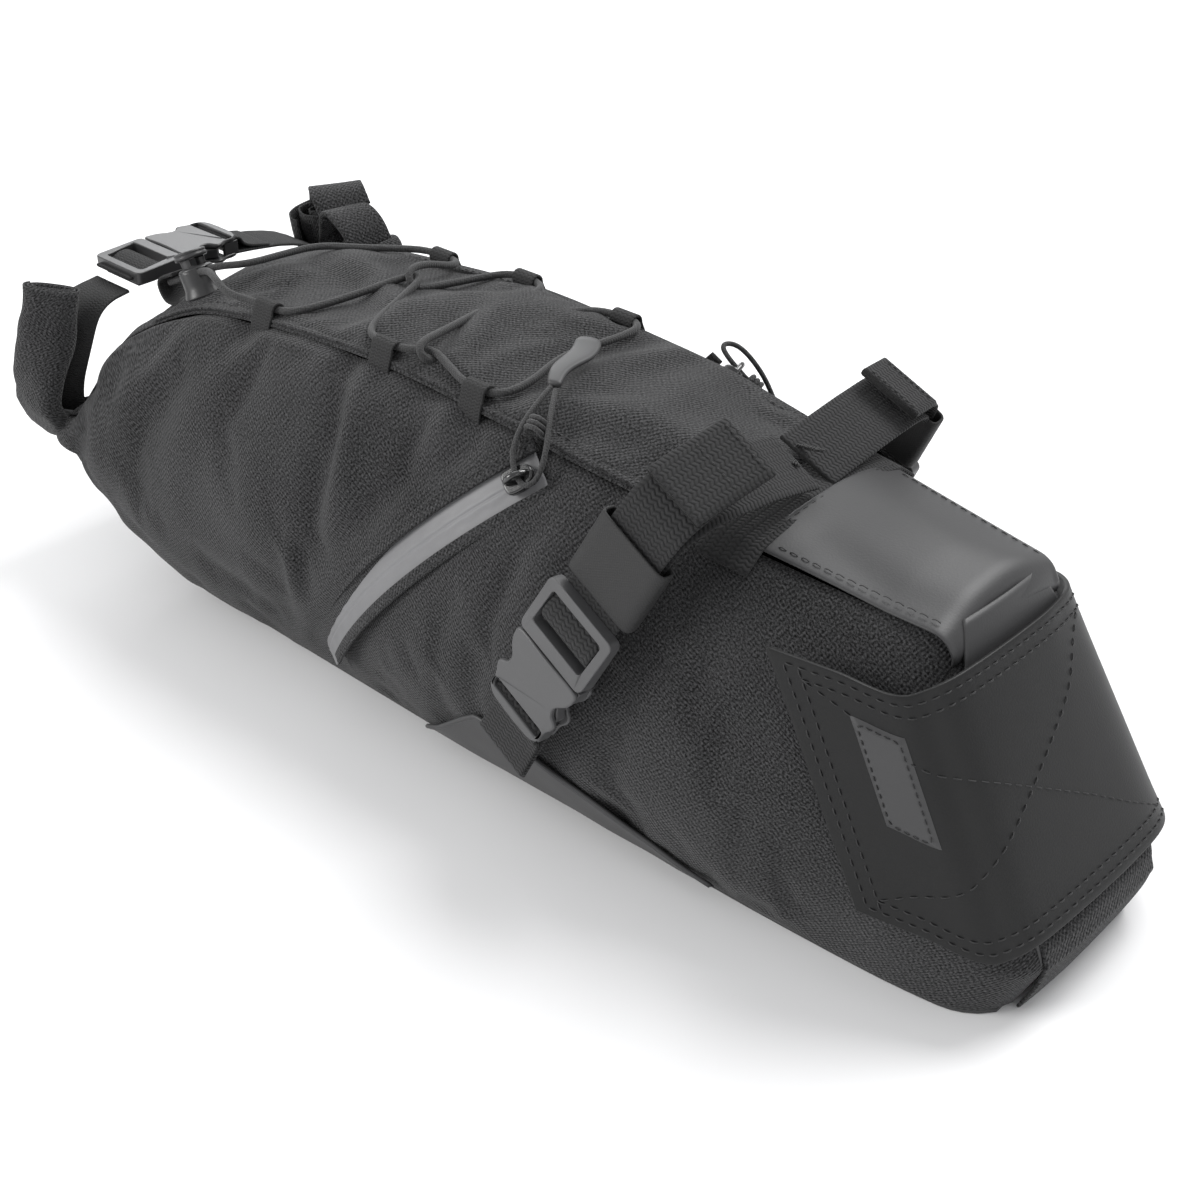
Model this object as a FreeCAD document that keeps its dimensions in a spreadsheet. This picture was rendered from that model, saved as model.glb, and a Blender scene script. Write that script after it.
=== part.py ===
import FreeCAD, Part
import math
import os

Vector = FreeCAD.Vector
doc = FreeCAD.newDocument("SaddleBag")

# Driving sizes in millimetres. Each one is a cell of the sheet, read back by alias.
drivingSizes = {
    "panelThickness": 2.0,
    "coatedThickness": 1.2,
    "stiffenerThickness": 1.6,
    "webbingWidth": 25.0,
    "webbingThickness": 1.4,
    "bandWidth": 20.0,
    "buckleWidth": 33.0,
    "buckleThickness": 9.0,
    "ladderThickness": 4.4,
    "femaleLength": 31.0,
    "collarWidth": 27.0,
    "collarThickness": 12.0,
    "stripWidth": 20.4,
    "stripThickness": 2.4,
    "zipWidth": 16.0,
    "zipThickness": 1.2,
    "sliderLength": 12.0,
    "sliderWidth": 9.0,
    "sliderThickness": 3.2,
    "shockCordDiameter": 3.0,
    "pullCordDiameter": 2.0,
    "pullTabLength": 38.0,
    "pullTabWidth": 10.0,
    "pullTabThickness": 3.0,
    "cordLoopWidth": 11.0,
    "lockRadius": 7.5,
    "lockHeight": 13.0,
    "plungerTravel": 3.2,
    "flapHeight": 92.0,
    "flapThickness": 1.8,
    "flapReach": 46.0,
}

sheet = doc.addObject("Spreadsheet::Sheet", "Sizes")
for row, (alias, value) in enumerate(drivingSizes.items(), start=1):
    sheet.set("A%d" % row, alias)
    sheet.set("B%d" % row, str(value))
    sheet.setAlias("B%d" % row, alias)
doc.recompute()


def size(alias):
    return float(sheet.get(alias))


gap = 0.3  # clear space left between neighbouring pieces
right = -1  # the side of -Y
left = 1  # the side of +Y
subparts = []


def keep(obj, name):
    obj.Label = name
    subparts.append(obj)
    return obj


def frameAt(origin, along, outward):
    # A placement whose X runs along, whose Z points outward.
    x = Vector(along).normalize()
    z = Vector(outward)
    z = (z - x * z.dot(x)).normalize()
    y = z.cross(x)
    matrix = FreeCAD.Matrix(
        x.x, y.x, z.x, origin.x,
        x.y, y.y, z.y, origin.y,
        x.z, y.z, z.z, origin.z,
        0, 0, 0, 1,
    )
    return FreeCAD.Placement(matrix)


def sided(side, x, y, z):
    # y counts outwards from the middle plane of the bag.
    return Vector(x, side * y, z)


def shapeNode(name, shape):
    # A piece whose form needs a loft, a turned section or a pipe.
    feature = doc.addObject("Part::Feature", name)
    feature.Shape = shape
    return keep(feature, name)


def originPlane(body, role):
    for feature in body.Origin.OriginFeatures:
        if feature.Role == role:
            return feature
    raise ValueError("no plane " + role)


def sketchOn(body, name, role, points):
    # A closed outline of straight edges, given in the plane's own two axes.
    sketch = body.newObject("Sketcher::SketchObject", name)
    sketch.AttachmentSupport = [(originPlane(body, role), "")]
    sketch.MapMode = "FlatFace"
    corners = [Vector(a, b, 0) for a, b in points]
    for first, second in zip(corners, corners[1:] + corners[:1]):
        sketch.addGeometry(Part.LineSegment(first, second), False)
    return sketch


def pad(body, sketch, expression, middle=True):
    feature = body.newObject("PartDesign::Pad", sketch.Name + "Pad")
    feature.Profile = sketch
    feature.Midplane = middle
    feature.setExpression("Length", expression)
    return feature


def pocket(body, sketch, expression):
    feature = body.newObject("PartDesign::Pocket", sketch.Name + "Pocket")
    feature.Profile = sketch
    feature.Midplane = True
    feature.setExpression("Length", expression)
    return feature


def rectangle(lowA, highA, lowB, highB):
    return [(lowA, lowB), (highA, lowB), (highA, highB), (lowA, highB)]


def ribbonOutline(points, thickness):
    # The outline of a strip that follows a line of points, with mitred corners.
    line = [Vector(a, b, 0) for a, b in points]
    upper = []
    lower = []
    for index, point in enumerate(line):
        before = line[max(index - 1, 0)]
        after = line[min(index + 1, len(line) - 1)]
        intoPoint = (point - before) if index > 0 else (after - point)
        outOfPoint = (after - point) if index < len(line) - 1 else (point - before)
        intoPoint = intoPoint.normalize()
        outOfPoint = outOfPoint.normalize()
        normal = Vector(-intoPoint.y - outOfPoint.y, intoPoint.x + outOfPoint.x, 0)
        normal = normal.normalize()
        reach = thickness / 2 / normal.dot(Vector(-intoPoint.y, intoPoint.x, 0))
        upper.append((point + normal * reach, point - normal * reach))
    for high, low in upper:
        lower.append((low.x, low.y))
    return [(high.x, high.y) for high, low in upper] + lower[::-1]


def ribbon(name, points, thickness, widthExpression, placement):
    # Webbing or sheet: a strip in the body's XZ plane, padded both ways to its width.
    body = doc.addObject("PartDesign::Body", name)
    outline = ribbonOutline(points, thickness)
    pad(body, sketchOn(body, name + "Edge", "XZ_Plane", outline), widthExpression)
    body.Placement = placement
    return keep(body, name)


# ---------------------------------------------------------------- the bag's own shape
# Cross sections from the roll to the nose. The side wall is one arc through the edge
# of the base, the widest point and the top seam. The top is one arc over the middle.
# x, base z, base half width, widest half width, its z, seam half width, seam z, top z
stations = [
    (-230, 54, 78, 87, 65, 78, 76, 77),
    (-205, 14, 66, 85, 60, 60, 115, 120),
    (-170, 3, 62, 84, 62, 46, 131, 136),
    (-120, 0, 60, 82, 64, 45, 138, 142),
    (-60, 0, 60, 81, 66, 45, 142.5, 147),
    (0, 0, 60, 80, 66, 45, 139.5, 144),
    (30, 0, 59, 79.5, 65, 45, 137.5, 141.5),
    (60, 0, 58, 78, 63, 42.5, 134, 138),
    (104, 0, 57.5, 73, 61, 38.5, 129.5, 132.5),
    (180, 0, 54, 57, 54, 30.5, 122, 124.5),
    (250, 0, 43, 40, 50, 24, 115, 117),
]
topCoverStart = 115  # the woven top panel ends here and the coated nose cover starts
noseTop = Vector(181, 0, 124)
noseForward = Vector(234, 0, 22)
noseFoot = Vector(224, 0, -1)
downSlope = (noseForward - noseTop).normalize()
noseOut = Vector(-downSlope.z, 0, downSlope.x)


def stationAt(x):
    for first, second in zip(stations, stations[1:]):
        if first[0] <= x <= second[0]:
            share = (x - first[0]) / (second[0] - first[0])
            return [a + (b - a) * share for a, b in zip(first, second)]
    raise ValueError("outside the bag")


def circleThrough(a, b, c):
    circle = Part.Circle(Vector(*a), Vector(*b), Vector(*c))
    return circle.Center, circle.Radius


def sideHalfWidth(x, z, offset=0.0):
    # How far out the side wall stands at x and height z, with a skin laid on it.
    x, zBase, base, widest, zWidest, seam, zSeam, zTop = stationAt(x)
    centre, radius = circleThrough((0, base, zBase), (0, widest, zWidest), (0, seam, zSeam))
    return centre.y + math.sqrt((radius + offset) ** 2 - (z - centre.z) ** 2)


def topHeight(x, y):
    x, zBase, base, widest, zWidest, seam, zSeam, zTop = stationAt(x)
    centre, radius = circleThrough((0, -seam, zSeam), (0, 0, zTop), (0, seam, zSeam))
    return centre.z + math.sqrt(radius ** 2 - y ** 2)


def arcEdge(x, points):
    return Part.Arc(*[Vector(x, y, z) for y, z in points]).toShape()


def lineEdge(x, first, second):
    return Part.makeLine(Vector(x, *first), Vector(x, *second))


def sideSection(station, side):
    x, zBase, base, widest, zWidest, seam, zSeam, zTop = station
    wall = size("panelThickness")
    outer = [(side * base, zBase), (side * widest, zWidest), (side * seam, zSeam)]
    inner = [
        (side * seam, zSeam - wall),
        (side * (widest - wall), zWidest),
        (side * base, zBase + wall),
    ]
    return Part.Wire([
        arcEdge(x, outer),
        lineEdge(x, outer[2], inner[0]),
        arcEdge(x, inner),
        lineEdge(x, inner[2], outer[0]),
    ])


def topSection(station):
    x, zBase, base, widest, zWidest, seam, zSeam, zTop = station
    wall = size("panelThickness")
    edge = seam - gap
    return Part.Wire([
        arcEdge(x, [(-edge, zSeam), (0, zTop), (edge, zSeam)]),
        lineEdge(x, (edge, zSeam), (edge, zSeam - wall)),
        arcEdge(x, [(edge, zSeam - wall), (0, zTop - wall), (-edge, zSeam - wall)]),
        lineEdge(x, (-edge, zSeam - wall), (-edge, zSeam)),
    ])


def baseSection(station):
    x, zBase, base, widest, zWidest, seam, zSeam, zTop = station
    wall = size("panelThickness")
    edge = base - gap
    corners = [(-edge, zBase), (edge, zBase), (edge, zBase + wall), (-edge, zBase + wall)]
    points = [Vector(x, y, z) for y, z in corners]
    return Part.makePolygon(points + points[:1])


def coreSection(station, inset):
    # The space inside the panels, closed as one outline.
    x, zBase, base, widest, zWidest, seam, zSeam, zTop = station
    low = zBase + inset
    high = zSeam - inset
    edges = [lineEdge(x, (-base + gap, low), (base - gap, low))]
    edges.append(arcEdge(x, [(base - gap, low), (widest - inset, zWidest), (seam - gap, high)]))
    edges.append(arcEdge(x, [(seam - gap, high), (0, zTop - inset), (-seam + gap, high)]))
    edges.append(arcEdge(x, [(-seam + gap, high), (inset - widest, zWidest), (gap - base, low)]))
    return Part.Wire(edges)


def loft(wires):
    return Part.makeLoft(wires, True, True)


def sideExtrusion(points, halfWidth):
    # A block whose outline lies in the XZ plane.
    corners = [Vector(x, -halfWidth, z) for x, z in points]
    face = Part.Face(Part.makePolygon(corners + corners[:1]))
    return face.extrude(Vector(0, 2 * halfWidth, 0))


def slopePoint(down, out):
    point = noseTop + downSlope * down + noseOut * out
    return (point.x, point.z)


beyondNose = sideExtrusion(
    [(noseTop.x, 160), (noseTop.x, noseTop.z), (noseForward.x, noseForward.z),
     (noseFoot.x, noseFoot.z), (noseFoot.x, -20), (300, -20), (300, 160)],
    120,
)


def panelStations(start=-230, end=250):
    # The stations between two places along the bag, with a new one at each end.
    inside = [s for s in stations if start < s[0] < end]
    return [stationAt(start)] + inside + [stationAt(end)]


# The zip runs over the bulge of the side wall along one circle, from the top seam
# down to the base. Its slider therefore turns about that circle's axis.
zipTop = (27.0, 131.0)
zipMiddle = (-30.0, 76.0)
zipBottom = (-75.0, 20.0)


def zipPoint(side, place):
    x, z = place
    return sided(side, x, sideHalfWidth(x, z), z)


def zipCircle(side):
    top, middle, bottom = [zipPoint(side, place) for place in (zipTop, zipMiddle, zipBottom)]
    centre, radius = circleThrough(top, middle, bottom)
    axis = (bottom - centre).cross(top - centre).normalize()  # turning top-ward about -axis
    spread = math.degrees((top - centre).getAngle(bottom - centre))
    return centre, radius, axis, spread, top


def zipBand(side, width, below, above, extra=0.0):
    # A curved strip on the zip's circle, that runs extra degrees past both ends.
    centre, radius, axis, spread, top = zipCircle(side)
    outward = (top - centre).normalize()
    across = axis * (width / 2)
    corners = [
        centre + outward * (radius - below) - across,
        centre + outward * (radius + above) - across,
        centre + outward * (radius + above) + across,
        centre + outward * (radius - below) + across,
    ]
    face = Part.Face(Part.makePolygon(corners + corners[:1]))
    face.rotate(centre, axis, extra)
    return face.revolve(centre, axis, -(spread + 2 * extra))


def makePanels():
    for side, word in ((right, "right"), (left, "left")):
        wall = loft([sideSection(s, side) for s in stations]).cut(beyondNose)
        slot = zipBand(side, size("zipWidth") + 2 * gap, 14, 14, 1.5)
        shapeNode("side_panel_" + word, wall.cut(slot))
    shapeNode("top_panel", loft([topSection(s) for s in panelStations(end=topCoverStart)]))
    cover = loft([topSection(s) for s in panelStations(start=topCoverStart + gap)])
    shapeNode("nose_cover", cover.cut(beyondNose))
    shapeNode("base_panel", loft([baseSection(s) for s in stations]).cut(beyondNose))
    wall = size("panelThickness")
    core = loft([coreSection(s, wall + gap) for s in panelStations(start=150)])
    foot = (noseFoot.x, noseFoot.z)
    front = sideExtrusion(
        [slopePoint(-30, 0), (noseForward.x, noseForward.z), foot,
         (foot[0] - wall, foot[1]), (noseForward.x - wall, noseForward.z), slopePoint(-30, -wall)],
        120,
    )
    shapeNode("nose_panel", core.common(front))


def makeStiffeners():
    body = doc.addObject("PartDesign::Body", "base_stiffener")
    outline = [(-118, -54), (210, -42), (210, 42), (-118, 54)]
    plate = pad(body, sketchOn(body, "baseStiffenerEdge", "XY_Plane", outline),
                "Sizes.stiffenerThickness", False)
    plate.Refine = True
    body.Placement = FreeCAD.Placement(Vector(0, 0, 2 * size("panelThickness")), FreeCAD.Rotation())
    keep(body, "base_stiffener")

    body = doc.addObject("PartDesign::Body", "nose_stiffener")
    outline = rectangle(-25, 25, -90, -14)
    pad(body, sketchOn(body, "noseStiffenerEdge", "XY_Plane", outline),
        "Sizes.stiffenerThickness", False)
    depth = size("panelThickness") + size("stiffenerThickness") + 2.5
    body.Placement = frameAt(noseTop - noseOut * depth, Vector(0, 1, 0), noseOut)
    keep(body, "nose_stiffener")


# ---------------------------------------------------------------- seatpost flap
# The flap lies on the sloping front of the nose and folds back over the right side.
# In its frame X runs along +Y, Y runs up the slope and Z points out of the nose.
flapEdge = 53.0  # how far out the flap's corners stand from the middle
flapHinge = 40.0
flapLift = 2.5  # height of the flap's middle above the nose
flapMiddle = 52.0  # how far down the slope the flap's middle lies
flapCorner = 6.0
flapSplay = 14.0  # how much farther out the folded end's edge stands than its corner
patchCentre = (-44.0, -22.0)
patchSize = (38.0, 15.0)

acrossNose = Vector(0, 1, 0)
legBack = (acrossNose * -flapSplay - noseOut * size("flapReach")).normalize()
legIn = (acrossNose * size("flapReach") - noseOut * flapSplay).normalize()
legStart = noseTop - acrossNose * flapEdge + noseOut * (flapLift - flapCorner)


def flapFrame():
    return frameAt(noseTop + downSlope * flapMiddle, acrossNose, noseOut)


def sidePlate(name, out, thickness, height, depth, centre):
    # A flat patch on the folded end: height along the slope, depth back from the corner.
    body = doc.addObject("PartDesign::Body", name)
    outline = rectangle(centre[0] - height / 2, centre[0] + height / 2,
                        centre[1] - depth / 2, centre[1] + depth / 2)
    plate = body.newObject("PartDesign::Pad", name + "Pad")
    plate.Profile = sketchOn(body, name + "Edge", "YZ_Plane", outline)
    plate.Length = thickness
    body.Placement = frameAt(legStart + legIn * out, legIn, legBack * -1)
    return keep(body, name)


def makeFlap():
    thickness = size("flapThickness")
    cornerLevel = flapLift - flapCorner
    fold = [(flapHinge - 0.5, flapLift), (flapCorner - flapEdge, flapLift), (2 - flapEdge, flapLift - 2),
            (-flapEdge, cornerLevel), (-flapEdge - flapSplay, cornerLevel - size("flapReach"))]
    ribbon("seatpost_flap", fold, thickness, "Sizes.flapHeight", flapFrame())
    anchor = [(flapHinge + 1.3, flapLift), (flapEdge - flapCorner, flapLift), (flapEdge - 1, flapLift - 1.5),
              (flapEdge, -6), (flapEdge + 8, -32)]
    ribbon("flap_anchor", anchor, thickness, "Sizes.flapHeight", flapFrame())
    sidePlate("flap_hook_strip", thickness / 2 + 0.05, 1.0, 76, 24, (-flapMiddle, -31))
    sidePlate("flap_patch", -thickness / 2 - 1.05, 1.0, *patchSize, patchCentre)
    body = doc.addObject("PartDesign::Body", "loop_patch")
    pad(body, sketchOn(body, "loopPatchEdge", "XY_Plane", rectangle(-27, 27, -60, -4)),
        "Sizes.coatedThickness", False)
    body.Placement = frameAt(noseTop + noseOut * 0.1, acrossNose, noseOut)
    keep(body, "loop_patch")


# ---------------------------------------------------------------- side-release buckles
# Buckle frame: the mouth of the female half is at X = 0, the male half leaves along +X,
# and Z points away from the bag. Both halves and their webbing are symmetric in Y.
loopLevel = 3.4  # webbing round a bar, from the middle of the buckle
strapLevel = -5.2  # the strap that lies under the buckle's ladder
tailLevel = -2.2


def femaleHalf(name, placement):
    body = doc.addObject("PartDesign::Body", name)
    length = size("femaleLength")
    half = size("buckleWidth") / 2
    waist = half - 2.6
    outline = [(0, -half), (0, half), (-7, half - 1), (-13, waist), (-18, half - 0.5), (-22, half),
               (-length, half - 1.5), (-length, 1.5 - half), (-22, -half), (-18, 0.5 - half),
               (-13, -waist), (-7, 1 - half)]
    pad(body, sketchOn(body, name + "Outline", "XY_Plane", outline), "Sizes.buckleThickness")
    mouth = sketchOn(body, name + "Mouth", "XY_Plane", rectangle(-23, 1, -13, 13))
    pocket(body, mouth, "Sizes.buckleThickness - 3.2")
    slot = sketchOn(body, name + "Slot", "XY_Plane", rectangle(3 - length, 6.6 - length, -13, 13))
    pocket(body, slot, "Sizes.buckleThickness + 1")
    for sign in (-1, 1):
        window = rectangle(-20, -15, sign * 15 - 4, sign * 15 + 4)
        side = sketchOn(body, name + "Window%d" % (sign + 1), "XY_Plane", window)
        pocket(body, side, "Sizes.buckleThickness - 3.2")
    lip = rectangle(-length - 1, 3.2 - length, 2.2, 6)
    for sign in (-1, 1):
        level = [(a, sign * b) for a, b in lip]
        thin = sketchOn(body, name + "Bar%d" % (sign + 1), "XZ_Plane", level)
        pocket(body, thin, "Sizes.buckleWidth + 2")
    body.Placement = placement
    return keep(body, name)


def maleHalf(name, placement):
    body = doc.addObject("PartDesign::Body", name)
    half = size("buckleWidth") / 2
    shoulder = sketchOn(body, name + "Shoulder", "XY_Plane", rectangle(0.3, 6, -half, half))
    pad(body, shoulder, "Sizes.buckleThickness")
    ladder = sketchOn(body, name + "Ladder", "XY_Plane", rectangle(5, 24, -half, half))
    pad(body, ladder, "Sizes.ladderThickness")
    for index, low in enumerate((7.0, 15.5)):
        slot = rectangle(low, low + 4.6, -13, 13)
        pocket(body, sketchOn(body, name + "Slot%d" % index, "XY_Plane", slot),
               "Sizes.ladderThickness + 1")
    for sign in (-1, 1):
        arm = [(1, sign * 7.5), (1, sign * 11.5), (-14, sign * 11.5), (-17, sign * 12.6),
               (-21, sign * 10.5), (-21, sign * 9), (-14, sign * 8.5)]
        pad(body, sketchOn(body, name + "Arm%d" % (sign + 1), "XY_Plane", arm),
            "Sizes.ladderThickness")
    tongue = sketchOn(body, name + "Tongue", "XY_Plane", rectangle(-18, 1, -3, 3))
    pad(body, tongue, "Sizes.ladderThickness - 1")
    body.Placement = placement
    return keep(body, name)


sideBucklePlace = (68.5, 85.0, 90.0)
sideStrapUp = (0.442, -0.151, 0.884)
sideStrapOut = (0.0, 0.985, 0.169)
barLoop = [(-34, -3.6), (-26.2, -3.3), (-26.2, 3.3), (-32.6, 3.3), (-34.4, -1.6)]
ladderLoop = [(23.5, -loopLevel), (9.3, -loopLevel), (9.3, loopLevel)]


def sideStrapFrame(side):
    return frameAt(sided(side, *sideBucklePlace), sided(side, *sideStrapUp), sided(side, *sideStrapOut))


def makeSideStraps(side, word):
    web = size("webbingThickness")
    place = sideStrapFrame(side)
    femaleHalf("side_buckle_female_" + word, place)
    maleHalf("side_buckle_male_" + word, place)
    ribbon("wing_webbing_" + word, [(-54, -5.3)] + barLoop + [(-54, -3.2)], web,
           "Sizes.webbingWidth", place)
    tail = ladderLoop + [(24.5, loopLevel), (31, tailLevel), (60, tailLevel), (74, -7), (90, -34)]
    ribbon("strap_tail_" + word, tail, web, "Sizes.webbingWidth", place)
    load = [(28, strapLevel), (58, strapLevel), (70, -14), (76, -40), (73, -71)]
    ribbon("load_strap_" + word, load, web, "Sizes.webbingWidth", place)
    keeper = doc.addObject("PartDesign::Body", "keeper_" + word)
    half = size("webbingWidth") / 2 + 2.0
    pad(keeper, sketchOn(keeper, "keeperEdge" + word, "XY_Plane", rectangle(50.5, 57.5, -half, half)),
        "Sizes.webbingThickness * 2 + 3.6")
    inside = rectangle(50, 58, 1.1 - half, half - 1.1)
    pocket(keeper, sketchOn(keeper, "keeperInside" + word, "XY_Plane", inside),
           "Sizes.webbingThickness * 2 + 2.2")
    lifted = place.multiply(FreeCAD.Placement(Vector(0, 0, (strapLevel + tailLevel) / 2),
                                              FreeCAD.Rotation()))
    keeper.Placement = lifted
    keep(keeper, "keeper_" + word)


def makeCrossBand():
    # Webbing over the top from seam to seam, where the woven panel meets the nose cover.
    x = 106
    crown = topHeight(x, 0)
    place = frameAt(Vector(x, 0, crown), Vector(0, 1, 0), Vector(0.115, 0, 1))
    lift = size("webbingThickness") / 2 + 1.1
    line = [(y, topHeight(x, y) - crown + lift) for y in (-38, -19, 0, 19, 38)]
    ends = [(-47, -6.5)] + line + [(47, -6.5)]
    ribbon("cross_band", ends, size("webbingThickness"), "Sizes.bandWidth", place)


# The coated wing is a triangle laid on the side wall just above the base.
# x, lower z, upper z
wingStations = [(-16, 8, 9), (0, 8, 22), (23, 8, 40), (30, 8, 39.2), (60, 8, 36), (104, 8, 16.5), (121, 8, 9)]


def makeWing(side, word):
    wires = []
    for x, low, high in wingStations:
        inner = 0.8
        outer = inner + size("coatedThickness")
        points = []
        for offset, heights in ((outer, (low, (low + high) / 2, high)),
                                (inner, (high, (low + high) / 2, low))):
            points.append([(side * sideHalfWidth(x, z, offset), z) for z in heights])
        wires.append(Part.Wire([
            arcEdge(x, points[0]),
            lineEdge(x, points[0][2], points[1][0]),
            arcEdge(x, points[1]),
            lineEdge(x, points[1][2], points[0][0]),
        ]))
    shapeNode("stabiliser_wing_" + word, loft(wires))


# ---------------------------------------------------------------- rolled closure
# The mouth is rolled up and its two ends are drawn together over the top by a buckle.
collarX = -244.8
collarLine = [(-74, 126), (-87, 94), (-85, 73), (-76, 63), (76, 63), (85, 73), (87, 94), (76, 130)]
rollBucklePlace = Vector(-238, -20, 129)


def makeRoll():
    place = frameAt(Vector(collarX, 0, 0), Vector(0, 1, 0), Vector(0, 0, 1))
    body = doc.addObject("PartDesign::Body", "roll_collar")
    outline = ribbonOutline(collarLine, size("collarThickness"))
    pad(body, sketchOn(body, "collarEdge", "XZ_Plane", outline), "Sizes.collarWidth")
    stripLine = collarLine[3:5]
    room = ribbonOutline(stripLine, size("stripThickness") + 2 * gap)
    pocket(body, sketchOn(body, "collarInside", "XZ_Plane", room), "Sizes.stripWidth + 0.6")
    body.Placement = place
    keep(body, "roll_collar")
    strip = [(stripLine[0][0] + gap, stripLine[0][1]), (stripLine[1][0] - gap, stripLine[1][1])]
    ribbon("roll_stiffener", strip, size("stripThickness"), "Sizes.stripWidth", place)

    web = size("webbingThickness")
    buckle = frameAt(rollBucklePlace, Vector(0, -1, 0), Vector(0, 0, 1))
    femaleHalf("roll_buckle_female", buckle)
    maleHalf("roll_buckle_male", buckle)
    ribbon("roll_strap_loop", ladderLoop + [(26, loopLevel)], web, "Sizes.webbingWidth", buckle)
    near = [(27, strapLevel), (40, strapLevel), (49, -12), (56, -33), (57.5, -46)]
    ribbon("roll_webbing_right", near, web, "Sizes.webbingWidth", buckle)
    far = [(-98, -44), (-90, -20), (-62, -9)] + barLoop + [(-50, -4.6)]
    ribbon("roll_webbing_left", far, web, "Sizes.webbingWidth", buckle)


# ---------------------------------------------------------------- zips
def zipFrame(side):
    # At the top of the zip: X up along the zip, Z out of the side wall.
    centre, radius, axis, spread, top = zipCircle(side)
    outward = (top - centre).normalize()
    along = axis.cross(outward)
    return frameAt(top, along, outward)


# The right pull lies over the top panel and the left one hangs down its side wall.
pullRoutes = {
    right: [
        (12.0, 29.5, 150.4), (14.5, 40.0, 148.0), (17.0, 51.0, 142.5), (20.2, 57.9, 135.2), (27.9, 60.4, 128.2),
        (32.5, 57.0, 131.5), (30.0, 50.0, 140.0), (23.5, 42.0, 147.0), (15.5, 30.6, 150.8),
    ],
    left: [
        (34.2, 73.0, 112.5), (30.0, 72.5, 121.5), (24.5, 69.0, 131.5), (18.5, 66.0, 137.5), (15.8, 60.5, 139.0),
        (18.3, 58.0, 136.8), (27.9, 60.2, 128.1), (33.8, 65.0, 121.0), (37.4, 72.0, 112.0),
    ],
}
pullTabEnds = {
    right: ((12.6, 28.6, 150.9), (-2.5, -4.5, 153.0), (0, 0, 1)),
    left: ((35.9, 73.4, 111.4), (38.5, 85.0, 76.0), (0, 1, 0)),
}


def tangentPath(points):
    # Straight runs joined by tangent arcs, with each radius set by its two runs.
    edges = []
    radii = []
    start = points[0]
    for before, corner, after in zip(points, points[1:], points[2:]):
        run = min((corner - before).Length, (after - corner).Length)
        back = (before - corner).normalize()
        ahead = (after - corner).normalize()
        turn = math.pi - back.getAngle(ahead)
        radius = 0.45 * run / math.tan(turn / 2)
        radii.append(radius)
        inPoint = corner + back * (0.45 * run)
        outPoint = corner + ahead * (0.45 * run)
        bisector = (back + ahead).normalize()
        toCentre = radius / math.cos(turn / 2)
        middle = corner + bisector * (toCentre - radius)
        edges.append(Part.LineSegment(start, inPoint).toShape())
        edges.append(Part.Arc(inPoint, middle, outPoint).toShape())
        start = outPoint
    edges.append(Part.LineSegment(start, points[-1]).toShape())
    return Part.Wire(edges), radii


def cordNode(name, points, diameter):
    path, radii = tangentPath(points)
    section = Part.Wire(Part.makeCircle(diameter / 2, points[0], points[1] - points[0]))
    tube = path.makePipeShell([section], True, False)
    expected = math.pi * diameter ** 2 / 4 * path.Length
    print("%s: length %.1f, volume share %.4f, radii %s" % (
        name, path.Length, tube.Volume / expected, ["%.1f" % r for r in radii]))
    return shapeNode(name, tube)


def makeZip(side, word):
    tape = size("zipThickness")
    shapeNode("zip_tape_" + word, zipBand(side, size("zipWidth"), tape, 0.0))
    place = zipFrame(side)
    body = doc.addObject("PartDesign::Body", "zip_slider_" + word)
    long = size("sliderLength")
    half = size("sliderWidth") / 2
    outline = [(-long, -half + 1.5), (-long, half - 1.5), (-long + 2, half), (-3, half), (0, half - 2),
               (0, 2 - half), (-3, -half), (-long + 2, -half)]
    pad(body, sketchOn(body, "slider" + word, "XY_Plane", outline), "Sizes.sliderThickness")
    arch = sketchOn(body, "bail" + word, "XZ_Plane", [(-10, 1), (-9, 6.4), (-2, 6.4), (-1, 1)])
    bail = body.newObject("PartDesign::Pad", "bailPad" + word)
    bail.Profile = arch
    bail.Midplane = True
    bail.Length = 2.0
    eye = sketchOn(body, "eye" + word, "XZ_Plane", rectangle(-8.0, -3.0, 1.9, 4.9))
    hole = body.newObject("PartDesign::Pocket", "eyePocket" + word)
    hole.Profile = eye
    hole.Midplane = True
    hole.Length = 4.0
    lift = FreeCAD.Placement(Vector(0, 0, 0.5 + size("sliderThickness") / 2), FreeCAD.Rotation())
    body.Placement = place.multiply(lift)
    keep(body, "zip_slider_" + word)

    points = [sided(side, *point) for point in pullRoutes[side]]
    cordNode("zip_pull_cord_" + word, points, size("pullCordDiameter"))

    tabStart, tabEnd, tabOut = [sided(side, *ends) for ends in pullTabEnds[side]]
    body = doc.addObject("PartDesign::Body", "zip_pull_tab_" + word)
    halfWidth = size("pullTabWidth") / 2
    long = size("pullTabLength")
    outline = [(0.4, -3), (0.4, 3), (8, halfWidth), (long - 3, halfWidth), (long, halfWidth - 3),
               (long, 3 - halfWidth), (long - 3, -halfWidth), (8, -halfWidth)]
    pad(body, sketchOn(body, "tab" + word, "XY_Plane", outline), "Sizes.pullTabThickness")
    body.Placement = frameAt(tabStart, tabEnd - tabStart, tabOut)
    keep(body, "zip_pull_tab_" + word)


# ---------------------------------------------------------------- shock cord and its holders
loopPlaces = {right: (-134, -62, -13), left: (-121, -71, -17)}
loopOut = 41.0  # the middle of each cord loop's eye, from the middle plane
loopLift = 4.7  # and its height above the top panel


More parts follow.
